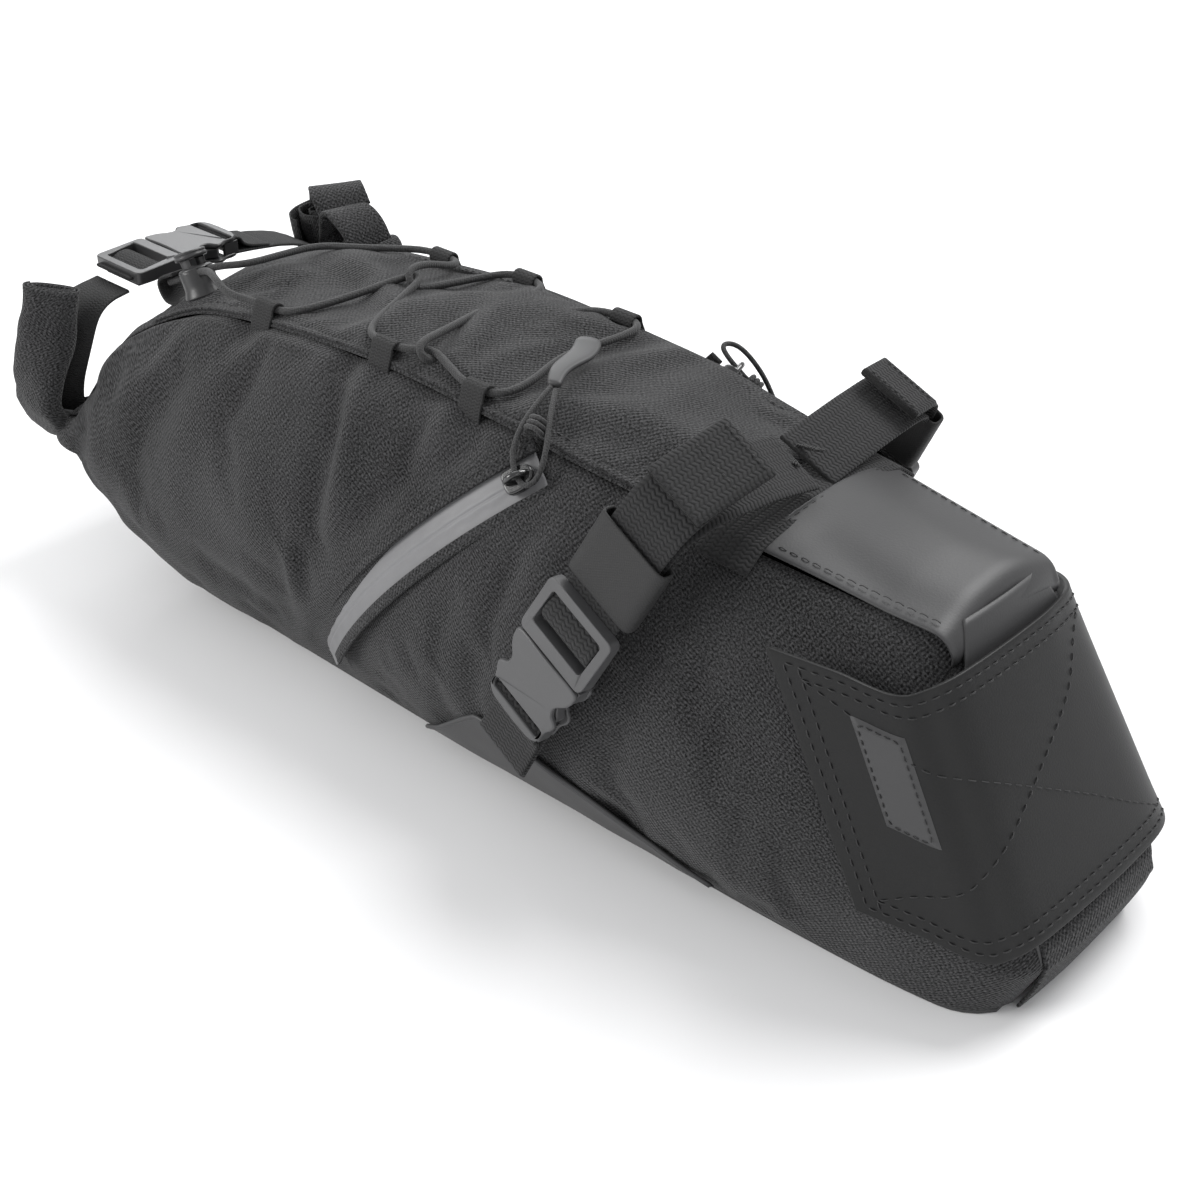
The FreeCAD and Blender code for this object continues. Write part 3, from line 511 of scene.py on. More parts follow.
# Cords: the shock cord and the two zip pulls
cordSizes = {"shock": 3.0, "pull": 2.0, "shockLength": 0.79}
shockRoute = [
    (-207.4, -34.0, 130.7), (-194.8, -34.05, 136.8), (-178.6, -33.8, 144.6), (-167, -26, 146.4),
    (-166, -8, 146.0), (-164, 9, 145.6), (-150, 22, 144.4), (-139, 35, 143.4), (-130, 41, 143.2),
    (-112, 41, 143.2), (-106, 32, 145.4), (-104, 15, 152.0), (-101.5, 3.5, 152.6), (-97.5, 3.3, 145.9),
    (-93, 14, 145.9), (-86, 33, 146.2), (-79, 41.0, 147.1), (-62, 41.0, 147.1), (-55, 30, 148.0),
    (-58, 6, 148.8), (-52, -22, 149.9), (-47.0, -37.5, 152.3), (-44.5, -41.0, 149.8), (-41.5, -38.2, 145.6),
    (-40, -26, 146.6), (-45, -6, 148.4), (-42, 14, 147.9), (-33, 34, 146.6), (-25.5, 41.0, 145.8),
    (-8, 41.0, 145.8), (-4.5, 26, 146.6), (-9, -2, 147.2), (-1, -28, 146.4), (-4, -41.0, 145.6),
    (-21, -41.0, 145.6), (-32, -37.5, 147.2), (-44, -34.3, 149.2), (-53, -40.2, 148.0), (-71, -41.0, 147.6),
    (-81, -33, 147.2), (-92, -8, 147.4), (-98.5, 9.6, 149.2), (-105, 6.5, 148.9), (-111, -14, 145.6),
    (-117, -34, 143.6), (-126, -41.0, 141.6), (-143, -41.0, 141.4), (-155, -46, 143.0), (-165, -44, 146.4),
    (-178.6, -38.2, 144.6), (-194.8, -37.95, 136.8), (-207.4, -38.0, 130.7),
]
pullRoutes = {
    right: [
        (12.0, 29.5, 150.4), (14.5, 40.0, 148.0), (17.0, 51.0, 142.5), (20.2, 57.9, 135.2),
        (27.9, 60.4, 128.2), (32.5, 57.0, 131.5), (30.0, 50.0, 140.0), (23.5, 42.0, 147.0),
        (15.5, 30.6, 150.8),
    ],
    left: [
        (34.2, 73.0, 112.5), (30.0, 72.5, 121.5), (24.5, 69.0, 131.5), (18.5, 66.0, 137.5),
        (15.8, 60.5, 139.0), (18.3, 58.0, 136.8), (27.9, 60.2, 128.1), (33.8, 65.0, 121.0),
        (37.4, 72.0, 112.0),
    ],
}


def routeCurve(name, route):
    data = bpy.data.curves.new(name, "CURVE")
    data.dimensions = "3D"
    data.resolution_u = 8
    spline = data.splines.new("NURBS")
    spline.points.add(len(route) - 1)
    for point, (x, y, z) in zip(spline.points, route):
        point.co = (x / 1000, y / 1000, z / 1000, 1)
    spline.order_u = 3
    spline.use_endpoint_u = True
    return data


def cordCurve(name, route, diameter, body, stands):
    data = routeCurve(name, route)
    data.bevel_depth = diameter / 2000
    data.bevel_resolution = 4
    data.use_fill_caps = True
    data.materials.append(cordSkin)
    piece = bpy.data.objects.new(name, data)
    scene.collection.objects.link(piece)
    attach(piece, body, stands)
    return piece


def splinePoints(route, count):
    # Evenly shared points of the spline that the cord itself follows.
    bare = bpy.data.objects.new("bareRoute", routeCurve("bareRoute", route))
    mesh = bpy.data.meshes.new_from_object(bare)
    points = np.array([vertex.co[:] for vertex in mesh.vertices]) * 1000
    bpy.data.objects.remove(bare)
    bpy.data.meshes.remove(mesh)
    along = lengthAlong(points)
    places = np.linspace(0, along[-1], count)
    return np.stack([np.interp(places, along, points[:, k]) for k in range(3)], 1)


shockCord = cordCurve("shockCord", shockRoute, cordSizes["shock"], "bag", "shock_cord")
print("cords made")


# The bag's surface. x, base z, base half width, widest half width, its z, seam half width, seam z, top z
stations = np.array([
    (-238, 57, 79, 86.5, 65, 79, 73, 74), (-230, 54, 79, 87, 65, 79, 76.5, 78),
    (-205, 16, 67, 85.5, 61, 62, 115, 120), (-170, 3, 62, 84, 62, 47, 131, 137.5),
    (-120, 0, 60, 82.5, 64, 45, 138, 143), (-60, 0, 60, 81.5, 66, 45, 142, 147.5),
    (0, 0, 60, 80.5, 66, 45, 139.5, 145), (30, 0, 59, 80, 65, 45, 137.5, 142.5),
    (60, 0, 58, 78.5, 63, 42.7, 134, 139), (104, 0, 57.5, 73.5, 61, 38.5, 129.5, 133.5),
    (180, 0, 54, 58, 54, 31, 122, 126), (250, 0, 43, 41, 50, 24.5, 115, 118),
], float)
nose = {"top": np.array((181.0, 0, 124)), "forward": np.array((234.0, 0, 22)),
        "foot": np.array((224.0, 0, -1)), "round": 17.0}
slopeDown = unit(nose["forward"] - nose["top"])
slopeOut = np.array((-slopeDown[2], 0, slopeDown[0]))
footDown = unit(nose["foot"] - nose["forward"])
footOut = np.array((-footDown[2], 0, footDown[0]))
slopeLength = float(np.linalg.norm(nose["forward"] - nose["top"]))


def column(x, index):
    # A smooth curve through one column of the stations.
    xs, ys = stations[:, 0], stations[:, index]
    slopes = np.gradient(ys, xs)
    for k in range(1, len(xs) - 1):
        before = (ys[k] - ys[k - 1]) / (xs[k] - xs[k - 1])
        after = (ys[k + 1] - ys[k]) / (xs[k + 1] - xs[k])
        slopes[k] = 0 if before * after <= 0 else 2 * before * after / (before + after)
    x = np.clip(x, xs[0], xs[-1])
    k = np.clip(np.searchsorted(xs, x) - 1, 0, len(xs) - 2)
    run = xs[k + 1] - xs[k]
    t = (x - xs[k]) / run
    return ((2 * t ** 3 - 3 * t ** 2 + 1) * ys[k] + (t ** 3 - 2 * t ** 2 + t) * run * slopes[k]
            + (3 * t ** 2 - 2 * t ** 3) * ys[k + 1] + (t ** 3 - t ** 2) * run * slopes[k + 1])


def circleOf(a, b, c):
    (ax, ay), (bx, by), (cx, cy) = a, b, c
    # Centre and radius of the circle through three places.
    d = 2 * (ax * (by - cy) + bx * (cy - ay) + cx * (ay - by))
    a2, b2, c2 = ax ** 2 + ay ** 2, bx ** 2 + by ** 2, cx ** 2 + cy ** 2
    x = (a2 * (by - cy) + b2 * (cy - ay) + c2 * (ay - by)) / d
    y = (a2 * (cx - bx) + b2 * (ax - cx) + c2 * (bx - ax)) / d
    return x, y, np.hypot(ax - x, ay - y)


def noseDepth(x, z):
    # How far a place lies behind the two faces of the nose.
    upper = (nose["top"][0] - x) * slopeOut[0] + (nose["top"][2] - z) * slopeOut[2]
    lower = (nose["forward"][0] - x) * footOut[0] + (nose["forward"][2] - z) * footOut[2]
    return np.minimum(upper, lower)


def roundedIn(depth, radius):
    near = np.clip((radius - depth) / radius, 0, 1)
    return radius * (1 - np.sqrt(1 - near ** 2 + 1e-9))


def wallPoint(x, t):
    # The side wall at x, with t from 0 at the base to 1 at the top seam, on the left side.
    zBase, base, widest, zWidest, seam, zSeam = [column(x, k) for k in range(1, 7)]
    cy, cz, radius = circleOf((base, zBase), (widest, zWidest), (seam, zSeam))
    low = np.arctan2(zBase - cz, base - cy)
    high = np.arctan2(zSeam - cz, seam - cy)
    angle = low + (high - low) * t
    return cy + radius * np.cos(angle), cz + radius * np.sin(angle)


def wallHeight(x, z, outset=0.0):
    zBase, base, widest, zWidest, seam, zSeam = [column(x, k) for k in range(1, 7)]
    cy, cz, radius = circleOf((base, zBase), (widest, zWidest), (seam, zSeam))
    y = cy + np.sqrt(np.maximum((radius + outset) ** 2 - (z - cz) ** 2, 1))
    return y - roundedIn(noseDepth(x, z), nose["round"])


def topPoint(x, y):
    seam, zSeam, zTop = [column(x, k) for k in (5, 6, 7)]
    _, cz, radius = circleOf((-seam, zSeam), (0 * seam, zTop), (seam, zSeam))
    return cz + np.sqrt(np.maximum(radius ** 2 - y ** 2, 1))


def frontReach(z):
    upper = nose["top"][0] + (nose["top"][2] - z) * -slopeDown[0] / slopeDown[2]
    lower = nose["forward"][0] + (nose["forward"][2] - z) * -footDown[0] / footDown[2]
    return np.where(z > nose["forward"][2], upper, lower)


def wallGrid(columns=150, rows=52, start=-238.0):
    share = np.linspace(0, 1, columns)[:, None] * np.ones((1, rows))
    t = np.ones((columns, 1)) * np.linspace(0, 1, rows)[None, :]
    x = start + share * (215 - start)
    for _ in range(12):
        y, z = wallPoint(x, t)
        x = start + share * (frontReach(z) - 0.2 - start)
    y, z = wallPoint(x, t)
    return np.stack([x, y - roundedIn(noseDepth(x, z), nose["round"]), z], -1)


def nearLine(places, line):
    # Distance to a broken line, and how far along it the nearest place is.
    line = np.asarray(line, float)
    best = np.full(places.shape[:-1], 1e9)
    share = np.zeros(places.shape[:-1])
    for k, (a, b) in enumerate(zip(line, line[1:])):
        run = b - a
        t = np.clip(((places - a) @ run) / (run @ run), 0, 1)
        distance = np.linalg.norm(places - a - t[..., None] * run, axis=-1)
        closer = distance < best
        best = np.where(closer, distance, best)
        share = np.where(closer, (k + t) / (len(line) - 1), share)
    return best, share


def folded(places, folds):
    total = np.zeros(places.shape[:-1])
    for line, depth, width in folds:
        distance, share = nearLine(places, line)
        fade = np.sin(np.pi * np.clip(0.12 + 0.76 * share, 0, 1)) ** 0.6
        total += depth * np.exp(-(distance / width) ** 2) * fade
    return total


def placeUv(grid):
    # Lengths along and across the sheet, from its first corner.
    down, over = [np.linalg.norm(np.diff(grid, axis=axis), axis=-1) for axis in (0, 1)]
    along = np.concatenate([np.zeros((1, grid.shape[1])), np.cumsum(down, 0)])
    around = np.concatenate([np.zeros((grid.shape[0], 1)), np.cumsum(over, 1)], 1)
    return np.stack([along, around], -1).reshape(-1, 2)


def settle(piece, held, frames=20, pressure=4.0, slack=0.03, cap=6.0, stiff=0.6):
    # Cloth that is a little too large for its seams, pushed out by the load inside.
    group = piece.vertex_groups.new(name="held")
    for index, weight in enumerate(held.ravel()):
        if weight > 0.01:
            group.add([index], float(weight), "REPLACE")
    modifier = piece.modifiers.new("cloth", "CLOTH")
    settings = modifier.settings
    settings.quality = 6
    settings.mass = 0.25
    settings.tension_stiffness = settings.compression_stiffness = 18
    settings.bending_stiffness = stiff
    settings.vertex_group_mass = "held"
    settings.pin_stiffness = 1.0
    settings.shrink_min = -slack
    settings.use_pressure = True
    settings.uniform_pressure_force = pressure
    settings.effector_weights.gravity = 0
    modifier.collision_settings.use_collision = False
    modifier.point_cache.frame_start = 1
    modifier.point_cache.frame_end = frames
    before = np.zeros(len(piece.data.vertices) * 3)
    piece.data.vertices.foreach_get("co", before)
    for number in range(1, frames + 1):
        scene.frame_set(number)
    moved = piece.evaluated_get(bpy.context.evaluated_depsgraph_get())
    after = np.zeros_like(before)
    moved.data.vertices.foreach_get("co", after)
    before, after = before.reshape(-1, 3), after.reshape(-1, 3)
    shift = np.nan_to_num(after - before)
    size = np.linalg.norm(shift, axis=1, keepdims=True)
    limit = cap * 0.001
    shift *= np.minimum(1, limit * np.tanh(size / limit) / np.maximum(size, 1e-9))
    shift *= (1 - held.ravel()[:, None])
    piece.modifiers.remove(modifier)
    piece.vertex_groups.clear()
    piece.data.vertices.foreach_set("co", (before + shift).ravel())
    piece.data.update()
    scene.frame_set(1)
    print("settled", piece.name, "%.1f mm" % (size.max() * 1000))


# The two zips run on circles over the side walls.
zipShape = {"top": (27.0, 131.0), "middle": (-30.0, 76.0), "bottom": (-75.0, 20.0), "width": 16.0}


def zipCircle(side):
    # The zip's circle, through three places on the side wall.
    spots = []
    for x, z in (zipShape["top"], zipShape["middle"], zipShape["bottom"]):
        spots.append(np.array((x, side * cadWallHeight(x, z), z)))
    a, b, c = spots
    ab, ac = b - a, c - a
    normal = np.cross(ab, ac)
    centre = a + (np.cross(normal, ab) * (ac @ ac) + np.cross(ac, normal) * (ab @ ab)) / (2 * normal @ normal)
    radius = np.linalg.norm(a - centre)
    axis = unit(np.cross(c - centre, a - centre))
    spread = math.acos(unit(a - centre) @ unit(c - centre))
    return {"centre": centre, "radius": radius, "axis": axis, "spread": spread, "top": a}


def cadWallHeight(x, z):
    # The same wall with straight runs between its stations.
    knots = [(-120, 0, 60, 82, 64, 45, 138), (-60, 0, 60, 81, 66, 45, 142.5), (0, 0, 60, 80, 66, 45, 139.5),
             (60, 0, 58, 79, 64, 45, 135.5)]
    zBase, base, widest, zWidest, seam, zSeam = [np.interp(x, [k[0] for k in knots], [k[i] for k in knots])
                                                 for i in range(1, 7)]
    cy, cz, radius = circleOf((base, zBase), (widest, zWidest), (seam, zSeam))
    return cy + math.sqrt(radius ** 2 - (z - cz) ** 2)


zips = {side: zipCircle(side) for side in (right, left)}


def zipPlace(side, angle, across, lift):
    # angle in radians from the top of the zip, across along its circle's axis, lift off the wall.
    ring = zips[side]
    outward = unit(ring["top"] - ring["centre"])
    turned = outward * math.cos(angle) + np.cross(-ring["axis"], outward) * math.sin(angle)
    return ring["centre"] + turned * (ring["radius"] + lift) + ring["axis"] * across, turned


def zipDistance(side, points):
    # How far each point lies across the zip and along it.
    ring = zips[side]
    relative = points - ring["centre"]
    outward = unit(ring["top"] - ring["centre"])
    ahead = np.cross(-ring["axis"], outward)
    return relative @ ring["axis"], np.arctan2(relative @ ahead, relative @ outward)


# Side walls. Folds are lines of x and z, with their depth and width, and differ a little on the two sides.
sideFolds = {
    right: [
        ([(-76, 138), (-70, 120), (-68, 100), (-68, 74)], -4.2, 8),
        ([(-67, 138), (-57, 122), (-54, 106), (-59, 84)], 3.6, 7),
        ([(-33, 136), (-26, 116), (-42, 89), (-62, 68)], -3.8, 9),
        ([(-8, 138), (-9, 126), (-18, 108)], -3.0, 9), ([(-20, 138), (-20, 120), (-30, 98)], 2.0, 8),
        ([(-74, 68), (-71, 50), (-74, 36)], -3.4, 5), ([(-80, 66), (-79, 50), (-80, 40)], 2.6, 5),
        ([(-160, 44), (-120, 36), (-82, 30)], -3.2, 8),
        ([(-150, 126), (-167, 119), (-184, 100), (-205, 72)], 3.0, 9),
        ([(-142, 130), (-152, 118), (-170, 96), (-190, 60)], -2.8, 9),
        ([(-112, 134), (-128, 120), (-148, 92), (-160, 60)], 1.8, 12),
        ([(-98, 132), (-104, 100), (-98, 66)], 1.8, 14), ([(-222, 60), (-196, 40), (-160, 22)], -2.2, 7),
        ([(-205, 66), (-180, 50), (-150, 42)], 1.8, 8), ([(60, 128), (80, 108), (96, 86)], -1.2, 10),
        ([(120, 122), (140, 96), (160, 66)], 0.9, 14), ([(-40, 20), (0, 24), (50, 18)], -1.4, 10),
        ([(28, 128), (34, 104), (30, 84)], -1.6, 8),
    ],
    left: [
        ([(-122, 134), (-126, 112), (-118, 88)], -3.6, 9), ([(-108, 134), (-104, 110), (-92, 84)], 2.8, 9),
        ([(-68, 138), (-60, 110), (-66, 78)], -3.4, 9), ([(-20, 136), (-24, 112), (-44, 88)], -3.0, 9),
        ([(-76, 62), (-74, 46), (-78, 34)], -3.0, 5), ([(-150, 120), (-172, 104), (-196, 74)], 3.0, 9),
        ([(-148, 96), (-166, 76), (-190, 54)], -2.6, 8), ([(-170, 34), (-130, 34), (-90, 26)], -2.8, 8),
        ([(60, 124), (84, 100), (104, 84)], -1.4, 10), ([(130, 110), (150, 86), (164, 60)], 1.0, 13),
        ([(-30, 22), (10, 26), (60, 20)], -1.4, 10),
    ],
}


# A swell is its size, its height and its growth at the tail. Only thick is in metres.
wallShape = {"broadSwell": (34, 0.8, 2.0), "fineSwell": (15, 0.35, 0.9), "tail": (-120, -225), "seamDip": 1.9,
             "seamWidth": 3.6, "zipDip": 2.2, "zipEdge": (10.5, 7.2), "zipCalm": (26, 9), "thick": 0.0012}


def sideWall(side):
    word = words[side]
    grid = wallGrid()
    grid[..., 1] *= side
    outward = gridNormals(grid) * (-side)
    if outward[60, 25, 1] * side < 0:
        outward = -outward
    places = grid[..., [0, 2]]
    seamGap = np.linalg.norm(grid - grid[:, -1:, :], axis=-1)
    across, angle = zipDistance(side, grid)
    spread = zips[side]["spread"]
    inZip = smoothStep(*wallShape["zipEdge"], np.abs(across)) * smoothStep(-0.06, 0.0, angle) \
        * smoothStep(spread + 0.12, spread, angle)
    nearZip = smoothStep(*wallShape["zipCalm"], np.abs(across)) * smoothStep(-0.12, 0.0, angle) \
        * smoothStep(spread + 0.3, spread, angle)
    depth = folded(places, sideFolds[side]) * (1 - nearZip)
    tail = smoothStep(*wallShape["tail"], grid[..., 0])
    for (size, height, growth), seed in ((wallShape["broadSwell"], 2.0), (wallShape["fineSwell"], 9.0)):
        depth += wave(grid, size, side + seed) * (height + growth * tail) * (1 - nearZip)
    depth *= smoothStep(0, 14, noseDepth(grid[..., 0], grid[..., 2]) + 4)
    depth -= wallShape["seamDip"] * np.exp(-(seamGap / wallShape["seamWidth"]) ** 2)
    depth -= wallShape["zipDip"] * inZip
    grid = grid + outward * depth[..., None]
    grid[..., 2] = np.maximum(grid[..., 2], 0.4)
    # Held at the seams, round the zip, on the ground and under the flap.
    held = np.zeros(grid.shape[:2])
    held[:1], held[-5:], held[:, :1], held[:, -2:] = 1, 1, 1, 1
    held = np.maximum(held, smoothStep(26, 12, np.abs(across)) * smoothStep(-0.2, -0.06, angle))
    held = np.maximum(held, smoothStep(6, 2, np.abs(grid[..., 2])))
    held = np.maximum(held, smoothStep(75, 50, noseDepth(grid[..., 0], grid[..., 2])))
    piece = sheet("side_fabric_" + word, grid, cloth, flip=side == right)
    settle(piece, held, slack=0.025, cap=5.0)
    thicken(piece, wallShape["thick"])
    attach(piece, "bag", "side_panel_" + word)
    return piece


for side in (right, left):
    wall = sideWall(side)
    print(wall.name, "made")


# Woven top. Folds are lines of x and y.
topFolds = [
    ([(-163, 2), (-125, -7), (-92, -24)], -2.6, 8), ([(-150, 12), (-120, 4), (-88, -10)], 2.4, 8),
    ([(-65, 4), (-49, -27)], -2.2, 7), ([(-54, 8), (-38, -24)], 1.8, 7),
    ([(-11, -20), (-7, 14), (-2, 33)], -2.2, 8), ([(8, -28), (10, 6), (12, 30)], 2.0, 9),
    ([(22, -38), (52, -30), (84, -28)], -2.6, 8), ([(18, -26), (50, -16), (90, -12)], 2.4, 10),
    ([(30, 30), (60, 22), (96, 26)], -1.8, 9), ([(-112, 34), (-90, 20), (-70, 24)], -1.8, 7),
    ([(-190, -20), (-176, 0), (-186, 26)], -2.4, 9), ([(-205, -40), (-196, -10), (-204, 40)], 2.2, 9),
    ([(-170, -34), (-150, -22), (-140, -30)], -2.2, 7),
]


def panelSpan(start, end, columns, rows, inset=-0.5):
    x = np.linspace(start, end, columns)[:, None] * np.ones((1, rows))
    share = np.ones((columns, 1)) * np.linspace(-1, 1, rows)[None, :]
    y = share * (column(x, 5) - inset)
    return np.stack([x, y, topPoint(x, y)], -1)


topShape = {"start": -238, "end": 113, "columns": 118, "rows": 36, "crown": 1.2, "seamDip": 1.4,
            "seamWidth": 2.6, "strap": (90, 100), "strapDip": 0.4, "thick": 0.0012}


def topFabric():
    grid = panelSpan(topShape["start"], topShape["end"], topShape["columns"], topShape["rows"])
    up = gridNormals(grid)
    seamGap = column(grid[..., 0], 5) - np.abs(grid[..., 1])
    depth = folded(grid[..., :2], topFolds) * smoothStep(0, 9, seamGap)
    depth += (wave(grid, 30, 5.0) * 0.9 + wave(grid, 14, 7.0) * 0.35) * smoothStep(0, 8, seamGap)
    depth += topShape["crown"] * smoothStep(2, 12, seamGap)
    depth -= topShape["seamDip"] * np.exp(-(seamGap / topShape["seamWidth"]) ** 2)
    underStrap = smoothStep(*topShape["strap"], grid[..., 0])
    depth = depth * (1 - underStrap) - topShape["strapDip"] * underStrap
    grid = grid + up * depth[..., None]
    held = np.zeros(grid.shape[:2])
    held[:1], held[-6:], held[:, :2], held[:, -2:] = 1, 1, 1, 1
    piece = sheet("top_fabric", grid, cloth)
    settle(piece, held, pressure=1.5, slack=0.02, cap=2.2)
    thicken(piece, topShape["thick"])
    attach(piece, "bag", "top_panel")


topFabric()


coverShape = {"start": 111, "end": 183, "crown": 1.6, "swell": 1.1, "swellSize": 40, "round": 6.0,
              "thick": 0.0012}
coverFolds = [([(128, -22), (160, -28), (186, -20)], -1.4, 9), ([(126, 10), (158, 6), (188, 18)], 1.2, 12)]


def noseCover():
    grid = panelSpan(coverShape["start"], coverShape["end"], 44, 44, 0.0)
    share = grid[..., 1] / column(grid[..., 0], 5)
    depth = coverShape["crown"] * (1 - share ** 2) ** 0.7
    depth = depth + wave(grid, coverShape["swellSize"], 12.0) * coverShape["swell"] * (1 - share ** 2)
    depth += folded(grid[..., :2], coverFolds)
    drop = roundedIn(noseDepth(grid[..., 0], grid[..., 2]) + 1, coverShape["round"])
    grid[..., 2] += depth - drop
    # The front edge turns down and tucks in.
    lip = grid[-1:].copy()
    grid = np.concatenate([grid, lip + np.array((1.0, 0, -1.6)), lip + np.array((0.6, 0, -5.0))], 0)
    piece = sheet("nose_cover_cloth", grid, coated)
    thicken(piece, coverShape["thick"])
    attach(piece, "bag", "nose_cover")


def slopeGrid(low, high, rows, columns, lift, narrow, crown=1.5):
    # A patch on the front of the nose, from low to high millimetres down its slope.
    grid = np.zeros((rows, columns, 3))
    for i, down in enumerate(np.linspace(low, high, rows)):
        past = down - slopeLength
        base = nose["top"] + slopeDown * down if past <= 0 else nose["forward"] + footDown * past
        bend = smoothStep(slopeLength - 8, slopeLength + 8, down)
        out = unit(slopeOut * (1 - bend) + footOut * bend)
        base = base - out * 1.6 * math.exp(-(past / 7) ** 2)
        half = float(wallHeight(base[0] - 14 * out[0], base[2] - 14 * out[2])) - narrow
        for j, share in enumerate(np.linspace(-1, 1, columns)):
            grid[i, j] = base + out * (lift + crown * (1 - share ** 2)) + np.array((0, share * half, 0))
    return grid


# Each piece: low and high down the slope, rows, columns, lift off the nose, and how far its edges stand in
frontShape = {"coated": (0, 119, 44, 50, -1.0, nose["round"] - 1.5),
              "woven": (106, 138, 30, 50, 0.4, nose["round"] - 1.0),
              "loop": (4, 62, 26, 40, 0.2, nose["round"] + 4.0), "fold": 1.2, "swell": 0.7, "thick": 0.0014}


def frontPieces():
    piece = sheet("nose_coated_front", slopeGrid(*frontShape["coated"]), coated)
    thicken(piece, 0.0012, smoothed=False)
    attach(piece, "bag")
    grid = slopeGrid(*frontShape["woven"])
    fold = 1.0 - smoothStep(0, 3, np.arange(len(grid)))[:, None]
    grid[..., 0] -= fold * frontShape["fold"]
    grid[..., 2] = np.maximum(grid[..., 2] + wave(grid, 22, 4.0) * frontShape["swell"], 0.5)
    piece = sheet("nose_woven_front", grid, cloth)
    thicken(piece, frontShape["thick"])
    attach(piece, "bag", "nose_panel")
    grid = slopeGrid(*frontShape["loop"])
    piece = addMesh("loop_strip", grid.reshape(-1, 3), gridFaces(*grid.shape[:2]), pile, None)
    thicken(piece, frontShape["thick"], offset=1, smoothed=False)
    attach(piece, "bag", "loop_patch")


noseCover()
frontPieces()


baseShape = {"start": -236, "end": 222, "columns": 120, "rows": 30, "lift": 0.3, "edgeLift": 0.8,
             "swell": 1.6, "thick": 0.001}


def baseCloth():
    columns, rows = baseShape["columns"], baseShape["rows"]
    x = np.linspace(baseShape["start"], baseShape["end"], columns)[:, None] * np.ones((1, rows))
    share = np.ones((columns, 1)) * np.linspace(-1, 1, rows)[None, :]
    half = column(x, 2) - roundedIn(noseDepth(x, np.ones_like(x)), nose["round"])
    z = column(x, 1) + baseShape["lift"] + baseShape["edgeLift"] * share ** 4
    swell = np.abs(wave(np.stack([x, share * half, z], -1), 26, 8.0)) * baseShape["swell"]
    z += swell * smoothStep(-150, -200, x)
    piece = sheet("base_cloth", np.stack([x, share * half, z], -1), coated, flip=True)
    thicken(piece, baseShape["thick"], smoothed=False)
    attach(piece, "bag", ["base_panel", "base_stiffener", "nose_stiffener"])


baseCloth()
print("panels made")


# Seams: a bound strip beside each top seam, with its thread rows.
def seamRoute(side, start, end, inward, lift):
    xs = np.linspace(start, end, int((end - start) / 4))
    ys = column(xs, 5) - inward
    return np.stack([xs, side * ys, topPoint(xs, ys) + lift], 1)


# Each run: start, end, inward from the seam, and lift
seamShape = {"strip": (-196, 95, 3.6, 0.5), "thread": (-196, 95, 5.6, 1.15),
             "noseThread": (118, 178, 3.0, 1.9), "wide": 6.4, "thick": 1.3}


def seamPieces(side):
    word = words[side]
    route = seamRoute(side, *seamShape["strip"])
    tilt = np.tile((0, 1.0, -0.16 * side), (len(route), 1))
    strap("seam_strip_" + word, route, tilt, seamShape["wide"], seamShape["thick"], cloth, "bag",
          step=3, waviness=0.15)
    row = seamRoute(side, *seamShape["thread"])
    stitches("seam_thread_" + word, row, np.tile((0, 0.16 * side, 1.0), (len(row), 1)), "bag", "woven_fabric",
             radius=0.26, lift=0.0)
    row = seamRoute(side, *seamShape["noseThread"])
    stitches("nose_thread_" + word, row, np.tile((0, 0.2 * side, 1.0), (len(row), 1)), "bag", "coated_fabric",
             radius=0.25, lift=0.0)


for side in (right, left):
    seamPieces(side)


# Zips: the laminated band, its teeth line, welts, slider and pull.
# Welts: side of the zip (1 towards the tail), width, lift, thickness
welts = {"rear": (1, 5.4, 0.75, 1.7), "front": (-1, 4.6, 0.2, 1.1)}
teethShape = {"ridge": 0.55, "gap": 0.5, "pitch": 2.1, "height": 0.10, "edgeDrop": 0.4, "sink": 0.5}


def zipPieces(side):
    word, ring, width = words[side], zips[side], zipShape["width"]
    rows, columns = 90, 27
    grid = np.zeros((rows, columns, 3))
    for i, angle in enumerate(np.linspace(-0.01, ring["spread"] - 0.015, rows)):
        beat = math.sin(angle * ring["radius"] * math.tau / teethShape["pitch"])
        for j, share in enumerate(np.linspace(-1, 1, columns)):
            across = share * width / 2
            ridge = teethShape["ridge"] * math.exp(-(across / 2.6) ** 2) \
                - teethShape["gap"] * math.exp(-(across / 0.35) ** 2)
            teeth = teethShape["height"] * beat * math.exp(-((abs(across) - 2.2) / 1.4) ** 2)
            lift = -teethShape["sink"] + ridge + teeth - teethShape["edgeDrop"] * abs(share) ** 3
            grid[i, j] = zipPlace(side, angle, across, lift)[0]
    piece = sheet("zip_band_" + word, grid, laminate, flip=side == left)
    fixNormals(piece)
    addModifier(piece, "SUBSURF", levels=1, render_levels=1)
    thicken(piece, 0.0008, smoothed=False)
    attach(piece, "bag", "zip_tape_" + word)
    for tag, (offset, wide, lift, high) in welts.items():
        sign = offset * zipSense[side]
        angles = np.linspace(-0.02, ring["spread"] - 0.08, 46)
        spots = [zipPlace(side, angle, sign * (width / 2 + wide / 2 - 1.6), lift) for angle in angles]
        centreLine, normals = np.array([spot[0] for spot in spots]), np.array([spot[1] for spot in spots])
        strap("zip_welt_%s_%s" % (tag, word), centreLine, np.tile(ring["axis"], (len(spots), 1)), wide, high,
              cloth, "bag", step=2.2)
        row = centreLine + normals * (high / 2 + 0.05) + ring["axis"] * sign * 1.2
        stitches("zip_thread_%s_%s" % (tag, word), row, normals, "bag", "woven_fabric", radius=0.24, lift=0.0,
                 length=2.4, gapLength=1.1)


